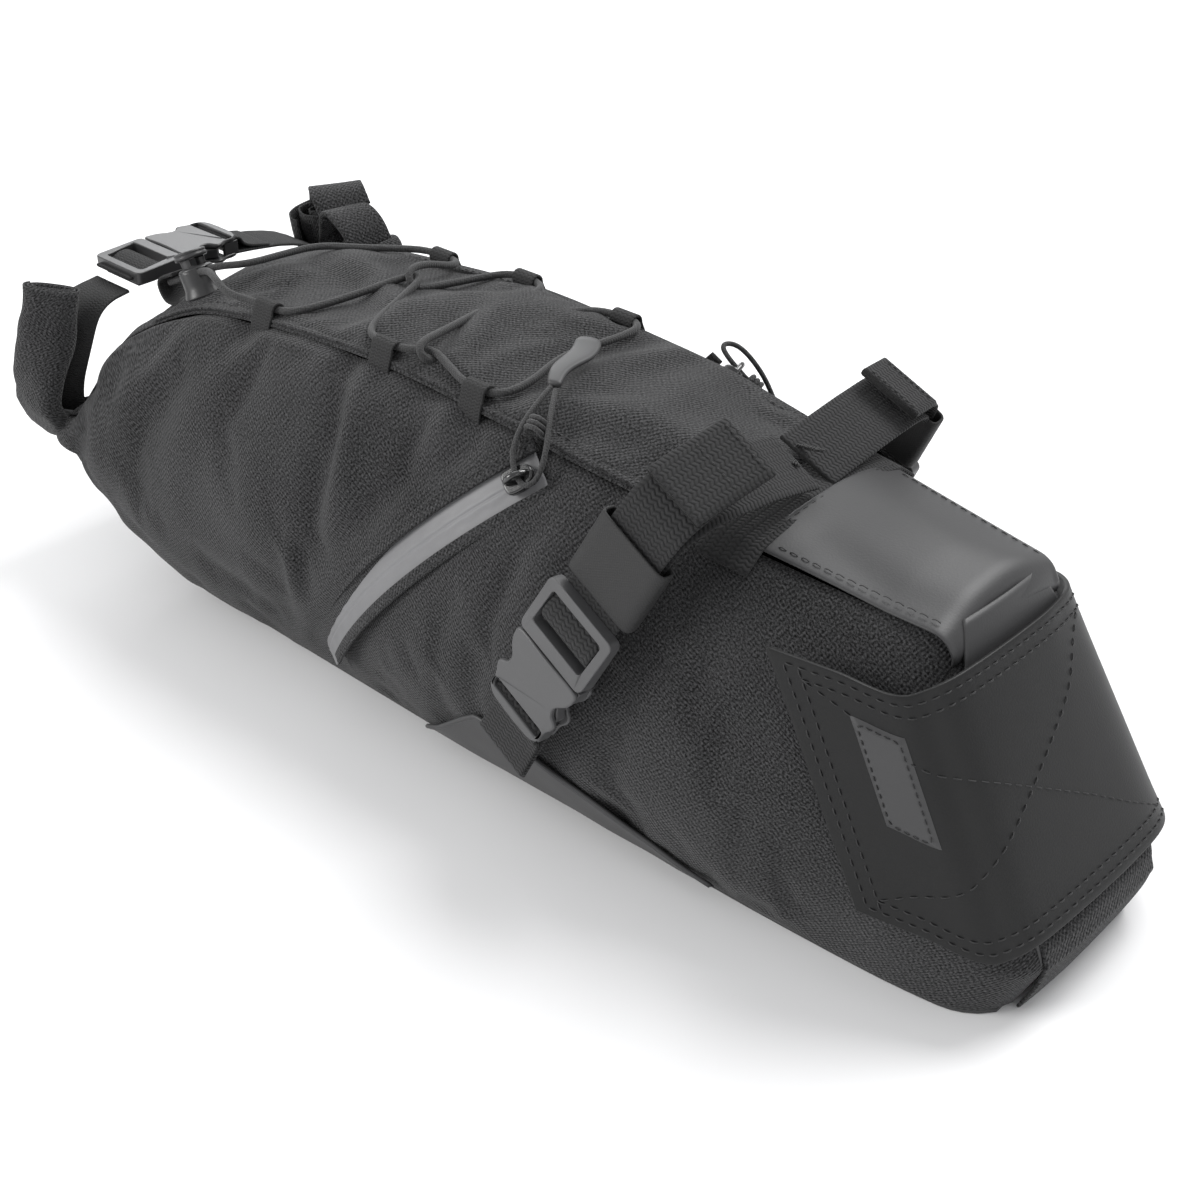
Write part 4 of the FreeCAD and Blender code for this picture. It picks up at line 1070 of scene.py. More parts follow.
# 1 where a step along the zip's axis goes towards the tail, and -1 where it goes towards the nose
zipSense = {side: 1 if zips[side]["axis"][0] < 0 else -1 for side in (right, left)}
for side in (right, left):
    zipPieces(side)
print("zips made")


# Zip sliders, knotted cords and rubber tabs
sliderShape = {"long": 12.0, "wide": 9.4, "thick": 3.4, "bail": 5.6}
tabEnds = {
    right: ((12.6, 28.6, 150.9), (-2.5, -4.5, 153.0), (0, 0, 1)),
    left: ((35.9, 73.4, 111.4), (38.5, 85.0, 76.0), (0, 1, 0)),
}
tabShape = {"long": 38.0, "wide": 10.5, "thick": 2.8, "bow": 2.6,
            "places": [0, 0.08, 0.3, 0.62, 0.9, 0.97, 1], "widths": [0.5, 0.56, 0.72, 0.98, 1.0, 0.86, 0.5]}
# The knot's two strands and the run it follows, counted along 120 shares of the cord
knotShape = {"turns": 2.5, "wide": 1.9, "tall": 2.5, "pitch": 2.1, "cord": 1.0,
             right: {"strands": (24, -30), "run": (20, 34)}, left: {"strands": (84, 96), "run": (80, 96)}}


def roundedRectangle(lowX, highX, lowY, highY, radius, steps=4):
    points = []
    corners = [(highX - radius, highY - radius, 0), (lowX + radius, highY - radius, 90),
               (lowX + radius, lowY + radius, 180), (highX - radius, lowY + radius, 270)]
    for x, y, start in corners:
        for step in range(steps + 1):
            angle = math.radians(start + 90 * step / steps)
            points.append((x + radius * math.cos(angle), y + radius * math.sin(angle)))
    return points


def tubeMesh(name, route, radius, material, body, stands=(), sides=10, closed=False):
    route = np.asarray(route, float)
    ahead = unit(np.gradient(route, axis=0))
    if closed:
        ahead = unit(np.roll(route, -1, 0) - np.roll(route, 1, 0))
    up = np.array((0.13, 0.21, 1.0))
    across = unit(np.cross(ahead, up))
    rise = unit(np.cross(across, ahead))
    radius = np.broadcast_to(np.asarray(radius, float), (len(route),))
    turns = np.arange(sides) * math.tau / sides
    points = (route[:, None] + (across[:, None] * np.cos(turns)[None, :, None]
              + rise[:, None] * np.sin(turns)[None, :, None]) * radius[:, None, None]).reshape(-1, 3)
    faces = gridFaces(len(route), sides, wrap=True)
    if closed:
        last = (len(route) - 1) * sides
        faces += [(last + j, last + (j + 1) % sides, (j + 1) % sides, j) for j in range(sides)]
    else:
        faces += [tuple(range(sides))[::-1], tuple(range(len(points) - sides, len(points)))]
    piece = addMesh(name, points, faces, material, None)
    fixNormals(piece)
    if body:
        attach(piece, body, stands)
    return piece


def sliderPlate(side):
    word, ring = words[side], zips[side]
    outward = unit(ring["top"] - ring["centre"])
    long, half, thick = sliderShape["long"], sliderShape["wide"] / 2, sliderShape["thick"] / 2
    place = frameAt(ring["top"] + outward * (0.5 + thick), np.cross(ring["axis"], outward), outward)
    outline = softened(np.array([(-long, 0), (-long, half - 1), (-long + 2, half), (-4, half),
                                 (-0.5, half - 2), (0.4, 0), (-0.5, 2 - half), (-4, -half),
                                 (-long + 2, -half), (-long, 1 - half), (-long, 0)]), 2)[:-1]
    body = "zip_slider_" + word
    plate("zip_slider_plate_" + word, [tuple(p) for p in outline], [], -thick, thick, place, gloss, body,
          "zip_slider_" + word, bevel=0.9,
          crown=lambda v: 0.7 * (1 - (v.y / 5) ** 2) if v.z > 0 else 0)
    arch = [(-10.4, 0, 1.6), (-9.6, 0, 4.6), (-6.5, 0, sliderShape["bail"] + 0.6), (-3.4, 0, 4.8),
            (-1.6, 0, 1.6)]
    tubeMesh("zip_bail_" + word, carried(place, softened(arch, 3)), 1.15, gloss, body)


def pullTab(side, body):
    start, end, out = [np.array(sided(side, p), float) for p in tabEnds[side]]
    rows, ring = 26, 16
    widths = np.interp(np.linspace(0, 1, rows), tabShape["places"], tabShape["widths"])
    points = []
    for i, share in enumerate(np.linspace(0, 1, rows)):
        bow = tabShape["bow"] * math.sin(share * math.tau) * 0.5
        for turn in np.arange(ring) * math.tau / ring:
            c, s = math.cos(turn), math.sin(turn)
            y = math.copysign(abs(c) ** 0.55, c) * widths[i] * tabShape["wide"] / 2
            z = math.copysign(abs(s) ** 0.75, s) * tabShape["thick"] / 2 * (1 if share < 0.96 else 0.6)
            points.append((share * tabShape["long"], y + bow, z + (0.5 * bow if side == right else 0)))
    faces = gridFaces(rows, ring, wrap=True) + [tuple(range(ring))[::-1],
                                                tuple(range(rows * ring - ring, rows * ring))]
    place = frameAt(start, end - start, out)
    tab = addMesh("pull_tab_" + words[side], carried(place, points), faces, rubber, None)
    fixNormals(tab)
    addModifier(tab, "SUBSURF", levels=1, render_levels=1)
    attach(tab, body, "zip_pull_tab_" + words[side])
    return tab


def pullKnot(side, route, body):
    # The knot grips both strands a little above the slider.
    strands = splinePoints(route, 120)
    one, other = knotShape[side]["strands"]
    low, high = knotShape[side]["run"]
    first, second = strands[one], strands[other]
    ahead = unit(strands[high] - strands[low])
    across = unit(np.cross(ahead, np.array((0.2, 0.1, 1.0))))
    up = np.cross(across, ahead)
    reach = np.linalg.norm(second - first) / 2 + 1.4
    coil = []
    for a in np.linspace(0, math.tau * knotShape["turns"], 60):
        wide = knotShape["wide"] + 0.5 * reach * abs(math.cos(a)) * 0.4
        coil.append((first + second) / 2 + across * math.cos(a) * wide + up * math.sin(a) * knotShape["tall"]
                    + ahead * (a / math.tau - knotShape["turns"] / 2) * knotShape["pitch"])
    return tubeMesh("pull_knot_" + words[side], np.array(coil), knotShape["cord"], cordSkin, body,
                    sides=8)


def zipPull(side):
    sliderPlate(side)
    body = "zip_pull_" + words[side]
    route = mirrored(side, pullRoutes[side])
    cord = cordCurve("pull_cord_" + words[side], route, cordSizes["pull"], body,
                     "zip_pull_cord_" + words[side])
    tab = pullTab(side, body)
    knot = pullKnot(side, route, body)


for side in (right, left):
    zipPull(side)
print("zip pulls made")


# Side-release buckles. The mouth of the female half is at X = 0 and the male half leaves along +X.
buckleShape = {"half": 16.5, "top": 4.5, "femaleEnd": -31.0, "maleEnd": 24.5, "waist": 11.6, "ear": 15.8}


def buckle(tag, place, femaleBody, maleBody, skin, femaleNode, maleNode):
    half, high, end = buckleShape["half"], buckleShape["top"], buckleShape["femaleEnd"]
    edge = softened(np.array([(0, 0), (0, half), (-5.5, half - 0.3), (-8.5, half - 1.6),
                              (-12, buckleShape["waist"]), (-15.5, buckleShape["waist"] + 0.6),
                              (-17.5, buckleShape["ear"]), (-20.5, buckleShape["ear"] - 0.3), (-23.5, 13.6),
                              (end, 13.4), (end, 0)]), 2)
    outline = [tuple(p) for p in edge] + [(x, -y) for x, y in edge[-2:0:-1]]

    def crown(v):
        return 0.9 * (1 - (v.y / half) ** 2) if v.z > 3.4 else 0

    slot = roundedRectangle(end + 3.4, end + 7.2, -12.6, 12.6, 1.2)
    plate(tag + "_socket_top", outline, [slot], 2.7, high, place, skin, femaleBody,
          femaleNode, crown=crown, bevel=0.8)
    plate(tag + "_socket_back", outline, [slot], -high, -2.7, place, skin, femaleBody,
          bevel=0.8)
    for sign in (-1, 1):
        rail = [(-0.6, sign * 13.4), (-0.6, sign * 16.0), (-5.5, sign * 15.9), (-8.0, sign * 14.8),
                (-8.0, sign * 13.2)]
        plate("%s_socket_rail_%d" % (tag, sign + 1), rail, [], -2.8, 2.8, place, skin, femaleBody,
              bevel=0.3)
        rail = [(-23, sign * 11.5), (-23, sign * 13.3), (end + 0.5, sign * 13.1), (end + 0.5, sign * 11.5)]
        plate("%s_socket_end_%d" % (tag, sign + 1), rail, [], -2.8, 2.8, place, skin, femaleBody,
              bevel=0.3)
    plate(tag + "_socket_bar", roundedRectangle(end + 0.2, end + 3.0, -13, 13, 1.0), [], -2.1, 2.1, place,
          skin, femaleBody, bevel=0.9)

    def ladderCrown(v):
        swell = 0.8 * (1 - (v.y / half) ** 2) if v.z > 3 and v.x < 7 else 0
        return swell - (1.2 if v.z > 3 and v.x > 19 else 0)

    outer = roundedRectangle(0.35, buckleShape["maleEnd"], -half, half, 2.6)
    opening = roundedRectangle(6.4, 20.6, -12.8, 12.8, 1.4)
    plate(tag + "_ladder", outer, [opening], -1.6, high, place, skin, maleBody, maleNode,
          crown=ladderCrown, bevel=0.9)
    plate(tag + "_ladder_bar", roundedRectangle(11.6, 15.2, -13.2, 13.2, 1.0), [], -1.9, 1.5, place, skin,
          maleBody, bevel=0.8)
    for sign in (-1, 1):
        arm = softened(np.array([(2, sign * 8), (2, sign * 11.6), (-10, sign * 11.6), (-14.5, sign * 12.0),
                                 (-17.5, sign * 14.4), (-20.4, sign * 13.0), (-20.8, sign * 10.2),
                                 (-14, sign * 8.6), (2, sign * 8)]), 1)[:-1]
        plate("%s_prong_%d" % (tag, sign + 1), [tuple(p) for p in arm], [], -2.2, 2.2, place, skin, maleBody,
              bevel=0.6)
    plate(tag + "_tongue", roundedRectangle(-17, 1, -3, 3, 1.2), [], -1.6, 1.6, place, skin, maleBody,
          bevel=0.4)


def localRoute(place, route, passes=3):
    route = softened(np.array(route, float), passes)
    return carried(place, np.stack([route[:, 0], np.zeros(len(route)), route[:, 1]], 1))


barLoop = [(-34, -3.6), (-26.2, -3.3), (-26.2, 3.3), (-32.6, 3.3), (-34.4, -1.6)]


def hairs(name, origin, spread, body, count=5, reach=7.0, seed=1):
    # Loose ends of yarn at a cut or bar-tacked strap.
    for k in range(count):
        start = np.array(origin) + np.array(spread) * (k / max(1, count - 1) - 0.5)
        drift = np.array([noise.noise(Vector((k * 3.1 + seed, j * 5.7, 0.3))) for j in range(3)])
        ahead = unit(drift + np.array((-0.3, 0.1, 0.5))) * reach * (0.6 + 0.4 * abs(drift[0]))
        bend = np.array([drift[1], drift[2], drift[0]]) * reach * 0.5
        route = [start + ahead * t + bend * t * t for t in np.linspace(0, 1, 7)]
        tubeMesh("%s_%d" % (name, k), route, 0.09, thread, body, sides=5)


# Routes in the buckle's own frame: X along the strap, then the height off the bag.
sideStrap = {
    "origin": (68.5, 85.0, 90.0), "along": (0.442, -0.151, 0.884), "outward": (0.0, 0.985, 0.169),
    "wide": 25, "thick": 1.5, "hemWide": 25.4, "hemThick": 2.9, "sleeveWide": 27, "sleeveThick": 1.1,
    "tail": [(19, -3.5), (9.6, -3.4), (8.8, 0), (9.8, 2.9), (15, 2.8), (20, 0.4), (25, -2.2), (32, -2.6),
             (55, -2.2)],
    right: {"lastRun": [(74, -6.5), (90.5, -34)], "hem": [(75.5, -6.0), (83.6, -19.4), (90.8, -32.6)],
            "load": [(25, -5.4), (58, -5.4), (70, -13), (75.5, -40), (73.5, -71)]},
    left: {"lastRun": [(66.5, -7.5), (72, -25)], "hem": [(68, -11.0), (70, -18), (72.2, -25.5)],
           "load": [(25, -5.4), (54, -5.4), (62, -12), (67.5, -36), (70, -71)]},
}
sleeveRing = [(54, 0, -7.1), (54, 9, -7.1), (54, 15, -7.0), (54, 15.4, -3.6), (54, 15, -0.7), (54, 9, -0.5),
              (54, -9, -0.5), (54, -15, -0.7), (54, -15.4, -3.6), (54, -15, -7.0), (54, -9, -7.2),
              (54, 1, -7.6)]


def hemRows(side, hem, across, body):
    for offset in (1.6, 13.5):
        spot = hem[-1] + unit(hem[0] - hem[-1]) * offset
        face = unit(np.cross(across, hem[-1] - hem[0]))
        face = face if face @ np.array((0, side, 0.6)) > 0 else -face
        row = np.array([spot + across * k + face * 1.55 for k in np.linspace(-10.5, 10.5, 9)])
        stitches("hem_thread_%s_%d" % (words[side], int(offset)), row, np.tile(face, (9, 1)), body, "webbing",
                 length=1.7, gapLength=0.7)


def sideStraps(side):
    word, run = words[side], sideStrap[side]
    wide, thick = sideStrap["wide"], sideStrap["thick"]
    origin, along, outward = [sided(side, sideStrap[key]) for key in ("origin", "along", "outward")]
    place = frameAt(origin, along, outward)
    across = np.array(place.to_3x3().col[1])
    male = "side_buckle_" + word
    buckle(male, place, "bag", male, plastic, "side_buckle_female_" + word, "side_buckle_male_" + word)
    strap("lower_strap_" + word, localRoute(place, [(-56, -5.6)] + barLoop + [(-54, -3.4)], 2), across, wide,
          thick, webbing, "bag", "wing_webbing_" + word, step=1.2)
    strap("tail_strap_" + word, localRoute(place, sideStrap["tail"] + run["lastRun"], 2), across, wide, thick,
          webbing, male, "strap_tail_" + word, waviness=0.35)
    hem = localRoute(place, run["hem"], 1)
    strap("tail_hem_" + word, hem, across, sideStrap["hemWide"], sideStrap["hemThick"], webbing, male)
    hemRows(side, hem, across, male)
    hairs("hem_yarn_" + word, hem[-1], across * 9, male, count=4, reach=5, seed=side + 2)
    strap("load_strap_%s_web" % word, localRoute(place, run["load"], 3), across, wide, thick, webbing, "bag",
          "load_strap_" + word, waviness=0.3)
    ring = np.array(sleeveRing) - np.array((11.5, 0, 0))
    keeper = strap("keeper_sleeve_" + word, carried(place, softened(ring, 2)),
                   np.array(place.to_3x3().col[0]), sideStrap["sleeveWide"], sideStrap["sleeveThick"],
                   elastic, "bag", "keeper_" + word, step=1.3, waviness=0.2)
    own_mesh(keeper)


for side in (right, left):
    sideStraps(side)


bandShape = {"x": 105.0, "reach": 47.0, "wide": 21.5, "thick": 1.6, "lift": 1.4, "drop": 6.5, "lean": 0.115,
             "threadGap": 8.1, "points": 60}


def crossBand():
    middle, reach, count = bandShape["x"], bandShape["reach"], bandShape["points"]
    ys = np.linspace(-reach, reach, count)
    seam = float(column(middle, 5))
    overTop = topPoint(np.full(count, middle), np.clip(ys, -seam, seam)) + bandShape["lift"]
    foot = float(topPoint(middle, seam)) + bandShape["lift"]
    sideRun = np.interp(np.abs(ys), [seam, reach], [foot, foot - bandShape["drop"]])
    route = np.stack([np.full(count, middle), ys, np.where(np.abs(ys) < seam, overTop, sideRun)], 1)
    up = unit(np.array((bandShape["lean"], 0, 1.0)))
    across = np.array((up[2], 0, -up[0]))
    strap("cross_band_web", route, across, bandShape["wide"], bandShape["thick"], webbing, "bag",
          "cross_band", waviness=0.25)
    for offset in (-bandShape["threadGap"], bandShape["threadGap"]):
        row = (route + offset * across + up * 0.95)[6:-6]
        stitches("band_thread_%d" % (offset > 0), row, np.tile(up, (len(row), 1)), "bag", "webbing",
                 radius=0.25, lift=0)
    for side in (right, left):
        tack = np.array([(94 + 8 * (k % 2) * 0.35 + k * 0.55, side * 5.0 + side * (k % 2) * 2.4,
                          143.6 + 0.05 * k)
                         for k in range(16)])
        stitches("bar_tack_" + words[side], tack, np.tile((0, 0, 1.0), (16, 1)), "bag", "webbing", length=1.6,
                 gapLength=0.2, radius=0.4)
    hairs("tack_yarn", (97, -6, 144.5), (7, 3, 0), "bag", count=5, reach=6, seed=6)


crossBand()
print("straps made")


# Coated wings over the lower side walls
wingShape = {"foot": 8.0, "rows": 60, "columns": 18, "proud": 1.8, "flare": 1.6, "swell": 0.7,
             "thick": 0.0011, "edge": 0.95}
wingLine = [(-18, 9.5), (-6, 17.5), (4, 26), (14, 34.5), (23, 41), (40, 39), (62, 32), (92, 20), (122, 9.5)]


def wing(side):
    word = words[side]
    line = np.array(wingLine, float)
    xs = np.linspace(line[0, 0], line[-1, 0], wingShape["rows"])
    high = np.interp(xs, line[:, 0], line[:, 1])
    share = np.linspace(0, 1, wingShape["columns"])
    grid = np.zeros((len(xs), len(share), 3))
    grid[..., 0] = xs[:, None]
    grid[..., 2] = wingShape["foot"] + (high - wingShape["foot"])[:, None] * share[None, :]
    proud = wingShape["proud"] + wingShape["flare"] * share[None, :] ** 2 \
        + wingShape["swell"] * wave(grid, 24, 14.0 + side)
    grid[..., 1] = side * (wallHeight(grid[..., 0], grid[..., 2]) + proud)
    piece = sheet("wing_cloth_" + word, grid, coated, flip=side == right)
    fixNormals(piece)
    thicken(piece, wingShape["thick"])
    attach(piece, "bag", "stabiliser_wing_" + word)
    edge = grid[:, -1] + np.array((0, side * 0.4, 0.3))
    tubeMesh("wing_edge_" + word, edge, wingShape["edge"], coated, "bag", sides=8)
    inner = grid[2:-2, -3] + np.array((0, side * 0.75, 0))
    stitches("wing_thread_" + word, inner, np.tile((0, side * 1.0, 0.1), (len(inner), 1)), "bag",
             "coated_fabric", radius=0.25, lift=0.0)


for side in (right, left):
    wing(side)


# Seatpost flap. u runs from the far side round the front to the folded end, v up the flap.
flapShape = {"middle": 57.5, "half": 46.0, "hinge": 38.0, "rise": 0.6, "farTaper": 13.0}
flapLine = [(68, -25), (61.5, -14), (52.5, -4.5), (43, 1.6), (28, 3.6), (0, 4.6), (-26, 3.6), (-42, 1.6),
            (-51.5, -5), (-55, -16), (-63.5, -42)]
flapPlace = frameAt(nose["top"] + slopeDown * flapShape["middle"], (0, 1, 0), slopeOut)
flapRoute = resampled(softened(np.array(flapLine), 3), 2.0)
flapLong = lengthAlong(flapRoute)
flapTurn = float(flapLong[np.argmin(np.linalg.norm(flapRoute - np.array((-47.0, -1.0)), axis=1))])


def flapPoint(u, v, lift=0.0):
    # u in millimetres along the flap, v from -46 at its foot to 46 at its top.
    a = np.interp(u, flapLong, flapRoute[:, 0])
    c = np.interp(u, flapLong, flapRoute[:, 1])
    slopeA = np.interp(u + 1, flapLong, flapRoute[:, 0]) - np.interp(u - 1, flapLong, flapRoute[:, 0])
    slopeC = np.interp(u + 1, flapLong, flapRoute[:, 1]) - np.interp(u - 1, flapLong, flapRoute[:, 1])
    size = np.maximum(np.hypot(slopeA, slopeC), 1e-6)
    outA, outC = slopeC / size, -slopeA / size
    front = smoothStep(30, 52, u) * smoothStep(142, 116, u)
    swell = 1.3 * np.sin((u - 20) / 42) * front
    swell = swell + 0.9 * np.cos(u / 23 + v / 40) * (0.4 + 0.6 * front) + 0.7 * (np.abs(v) / 45) ** 6
    a = a - (v / 92 + 0.5) * flapShape["farTaper"] * smoothStep(5, 40, a)
    v = v + flapShape["rise"] * np.maximum(0, u - flapTurn - 4) * smoothStep(flapTurn - 10, flapTurn + 24, u)
    a, c = a + outA * (lift + swell * 0.6), c + outC * (lift + swell * 0.6)
    spot = carried(flapPlace, np.stack([a, np.broadcast_to(v, np.shape(a)), c], -1).reshape(-1, 3))
    outward = np.stack([outA, np.zeros_like(a), outC], -1).reshape(-1, 3)
    return spot, carried(flapPlace, outward) - np.array(flapPlace.translation)


def flapBlend(piece, stands=()):
    if stands:
        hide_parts(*stands)
    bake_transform(piece)


# patch: its middle from the folded end, half length, foot and top. hook: its two ends and half height.
flapTrim = {"rim": 0.95, "outer": 42.6, "inner": 38.4, "end": 4.2, "endInner": 8.4, "thick": 0.0018,
            "patch": (27.5, 7.5, -6.5, 31.5), "patchThread": (5.9, -4.9, 29.9), "hook": (46, 22, 38)}


def flapStitches(name, u, v, slot="coated_fabric", lift=None, **looks):
    spots, normals = flapPoint(u, v, flapTrim["rim"] if lift is None else lift)
    flapBlend(stitches(name, spots, normals, None, None, **looks))


def flapThreads(length):
    hemLooks = {"length": 2.8, "gapLength": 1.5, "radius": 0.3}
    outer, inner, end, endInner = [flapTrim[key] for key in ("outer", "inner", "end", "endInner")]
    edgeU = np.linspace(30, length - end, 120)
    rows = {"top": (edgeU, outer), "foot": (edgeU, -outer), "topInner": (edgeU[:-3], inner),
            "footInner": (edgeU[:-3], -inner)}
    for tag, (u, v) in rows.items():
        flapStitches("flap_thread_" + tag, u, np.full(len(u), v), **hemLooks)
    for tag, inset in (("end", end), ("endInner", endInner)):
        flapStitches("flap_thread_" + tag, np.full(50, length - inset), np.linspace(-outer, outer, 50),
                     **hemLooks)
    for tag, low, high in (("rise", -inner, inner), ("fall", inner, -inner)):
        flapStitches("flap_cross_" + tag, np.linspace(36, length - endInner, 120),
                     np.linspace(low, high, 120), length=3.0, gapLength=1.9, radius=0.27)


def blankPatch(length):
    # The blank patch lies on the folded end, with its edges turned down.
    inset, half, foot, top = flapTrim["patch"]
    middle = length - inset
    us, vs = np.linspace(middle - half, middle + half, 18), np.linspace(foot, top, 36)
    grid = np.zeros((18, 36, 3))
    for j, v in enumerate(vs):
        edgeV = min(j, 35 - j) / 2.0
        for i, u in enumerate(us):
            lift = 1.0 + 1.0 * min(1, (min(i, 17 - i) / 1.6), edgeV)
            grid[i, j] = flapPoint(np.array([u]), np.array([v]), lift)[0][0]
    patch = sheet("blank_patch", grid, rubber)
    fixNormals(patch)
    flapBlend(patch, ["flap_patch"])
    half, foot, top = flapTrim["patchThread"]
    ring = roundedRectangle(middle - half, middle + half, foot, top, 2.0)
    ring = resampled(np.array(ring + ring[:1]), 1.5)
    flapStitches("patch_thread", ring[:, 0], ring[:, 1], "rubber_patch", 2.0, length=1.9, gapLength=1.1,
                 radius=0.26)


def flap():
    length = flapLong[-1]
    us, vs = np.linspace(0, length, 110), np.linspace(-flapShape["half"], flapShape["half"], 46)
    grid = np.stack([flapPoint(us, np.full(len(us), v))[0] for v in vs], 1)
    piece = sheet("flap_cloth", grid, flapCoatedPaintedShade)
    fixNormals(piece)
    thicken(piece, flapTrim["thick"], offset=0, smoothed=False)
    addModifier(piece, "BEVEL", width=0.0005, segments=2, limit_method="ANGLE", angle_limit=0.9)
    flapBlend(piece, ["seatpost_flap", "flap_anchor"])
    flapThreads(length)
    blankPatch(length)
    near, far, half = flapTrim["hook"]
    us, vs = np.linspace(length - near, length - far, 14), np.linspace(-half, half, 36)
    grid = np.stack([flapPoint(us, np.full(len(us), v), -1.6)[0] for v in vs], 1)
    hook = addMesh("hook_strip", grid.reshape(-1, 3), gridFaces(*grid.shape[:2]), pile, None)
    flapBlend(hook, ["flap_hook_strip"])


flap()
print("flap made")


# Rolled closure. The mouth is a flattened coil of cloth, and its two ends stand up towards the buckle.
rollLine = [(-76, 131), (-80, 114), (-86, 95), (-88, 76), (-78, 64), (-40, 62), (40, 62), (78, 63), (89, 76),
            (88, 96), (80, 112), (78, 126)]
rollShape = {"x": -245.5, "wide": 27.0, "thick": 12.5, "turns": 2.6}


def rollCollar():
    line = resampled(softened(np.array(rollLine), 3), 2.4)
    rows = len(line)
    along = lengthAlong(line) / lengthAlong(line)[-1]
    nearEnd = smoothStep(0.20, 0.03, along)
    farEnd = smoothStep(0.80, 0.97, along)
    x = np.full(rows, rollShape["x"]) + 7.0 * nearEnd + 3.0 * farEnd
    centre = np.stack([x, line[:, 0], line[:, 1]], 1)
    ahead = unit(np.gradient(centre, axis=0))
    turn = 0.85 * nearEnd + 1.05 * farEnd
    wide = np.stack([np.cos(turn), np.sin(turn), 0 * turn], 1)
    wide = unit(wide - ahead * (wide * ahead).sum(1, keepdims=True))
    deep = unit(np.cross(ahead, wide))
    columns = 120
    theta = np.linspace(0, rollShape["turns"] * math.tau, columns)
    share = theta / theta[-1]
    reach = rollShape["wide"] / 2 * (0.62 + 0.38 * share)
    rise = rollShape["thick"] / 2 * (0.22 + 0.78 * share)
    cosine, sine = np.cos(theta), np.sin(theta)
    flat = np.stack([np.sign(cosine) * np.abs(cosine) ** 0.75 * reach,
                     np.sign(sine) * np.abs(sine) ** 0.8 * rise], 1)
    grid = np.zeros((rows, columns, 3))
    for i in range(rows):
        broad = (1 - 0.12 * nearEnd[i] + 0.55 * farEnd[i] * share)[:, None]
        puff = 1 + 0.25 * nearEnd[i] + 1.15 * farEnd[i] * (0.4 + 0.6 * share)
        lobes = farEnd[i] * 3.2 * np.sin(theta * 1.5 + 0.6) * share
        grid[i] = centre[i] + wide[i] * (flat[:, :1] * broad) + deep[i] * (flat[:, 1] * puff + lobes)[:, None]
    crush = np.exp(-((along - 0.18) / 0.05) ** 2) + np.exp(-((along - 0.80) / 0.05) ** 2)
    ripple = wave(grid, 11, 21.0) * 1.1 + wave(grid, 5.5, 25.0) * 0.4 * (0.4 + crush[:, None])
    grid += deep[:, None, :] * (ripple * (0.6 + 0.8 * crush[:, None]))[..., None]
    grid += wide[:, None, :] * (wave(grid, 13, 31.0) * 0.9)[..., None]
    piece = sheet("rolled_mouth", grid, cloth)
    thicken(piece, 0.0008, offset=0, smoothed=False)
    attach(piece, "bag", ["roll_collar", "roll_stiffener"])


rollCollar()


def mouthNeck():
    # The cloth of the mouth, from the panels' rear edges into the roll.
    columns, rows = 64, 10
    share = np.linspace(0, 1, rows)[None, :]
    ys = np.linspace(-78.5, 78.5, columns)[:, None] * (1 - 0.03 * share)
    levels = {"top": (topPoint(np.full(columns, -231.0), ys[:, 0]) + 0.2, 68.0),
              "base": (np.full(columns, float(column(-231.0, 1)) + 0.6), 59.0)}
    for tag, (start, end) in levels.items():
        z = start[:, None] * (1 - share) + end * share
        grid = np.stack([-231.0 - 13.0 * share + 0 * ys, ys, z], -1)
        grid[..., 2] += wave(grid, 12, 3.0) * 0.9 * np.sin(np.pi * share)
        piece = sheet("mouth_neck_" + tag, grid, cloth)
        thicken(piece, 0.001, offset=0, smoothed=False)
        attach(piece, "bag")


mouthNeck()


def rollPetals():
    # Loose folds of cloth that open out of the far end of the roll.
    petals = {
        "inner": [(-240, 78, 104), (-234, 76, 118), (-226, 70, 129), (-215, 66, 133), (-205, 66, 128),
                  (-201, 67, 119)],
        "outer": [(-246, 82, 106), (-247, 84, 120), (-243, 82, 132), (-235, 75, 139), (-226, 70, 137),
                  (-221, 70, 129)],
        "low": [(-236, 84, 98), (-226, 84, 110), (-214, 80, 118), (-205, 76, 116), (-201, 74, 108)],
    }
    sides = {"inner": (0.35, 0.9, 0.1), "outer": (0.72, 0.68, 0.1), "low": (0.5, 0.85, -0.1)}
    for tag, route in petals.items():
        strap("roll_petal_" + tag, softened(np.array(route, float), 3), sides[tag],
              25 if tag == "outer" else 21, 2.6, cloth, "bag", step=1.8, waviness=1.6)


rollPetals()


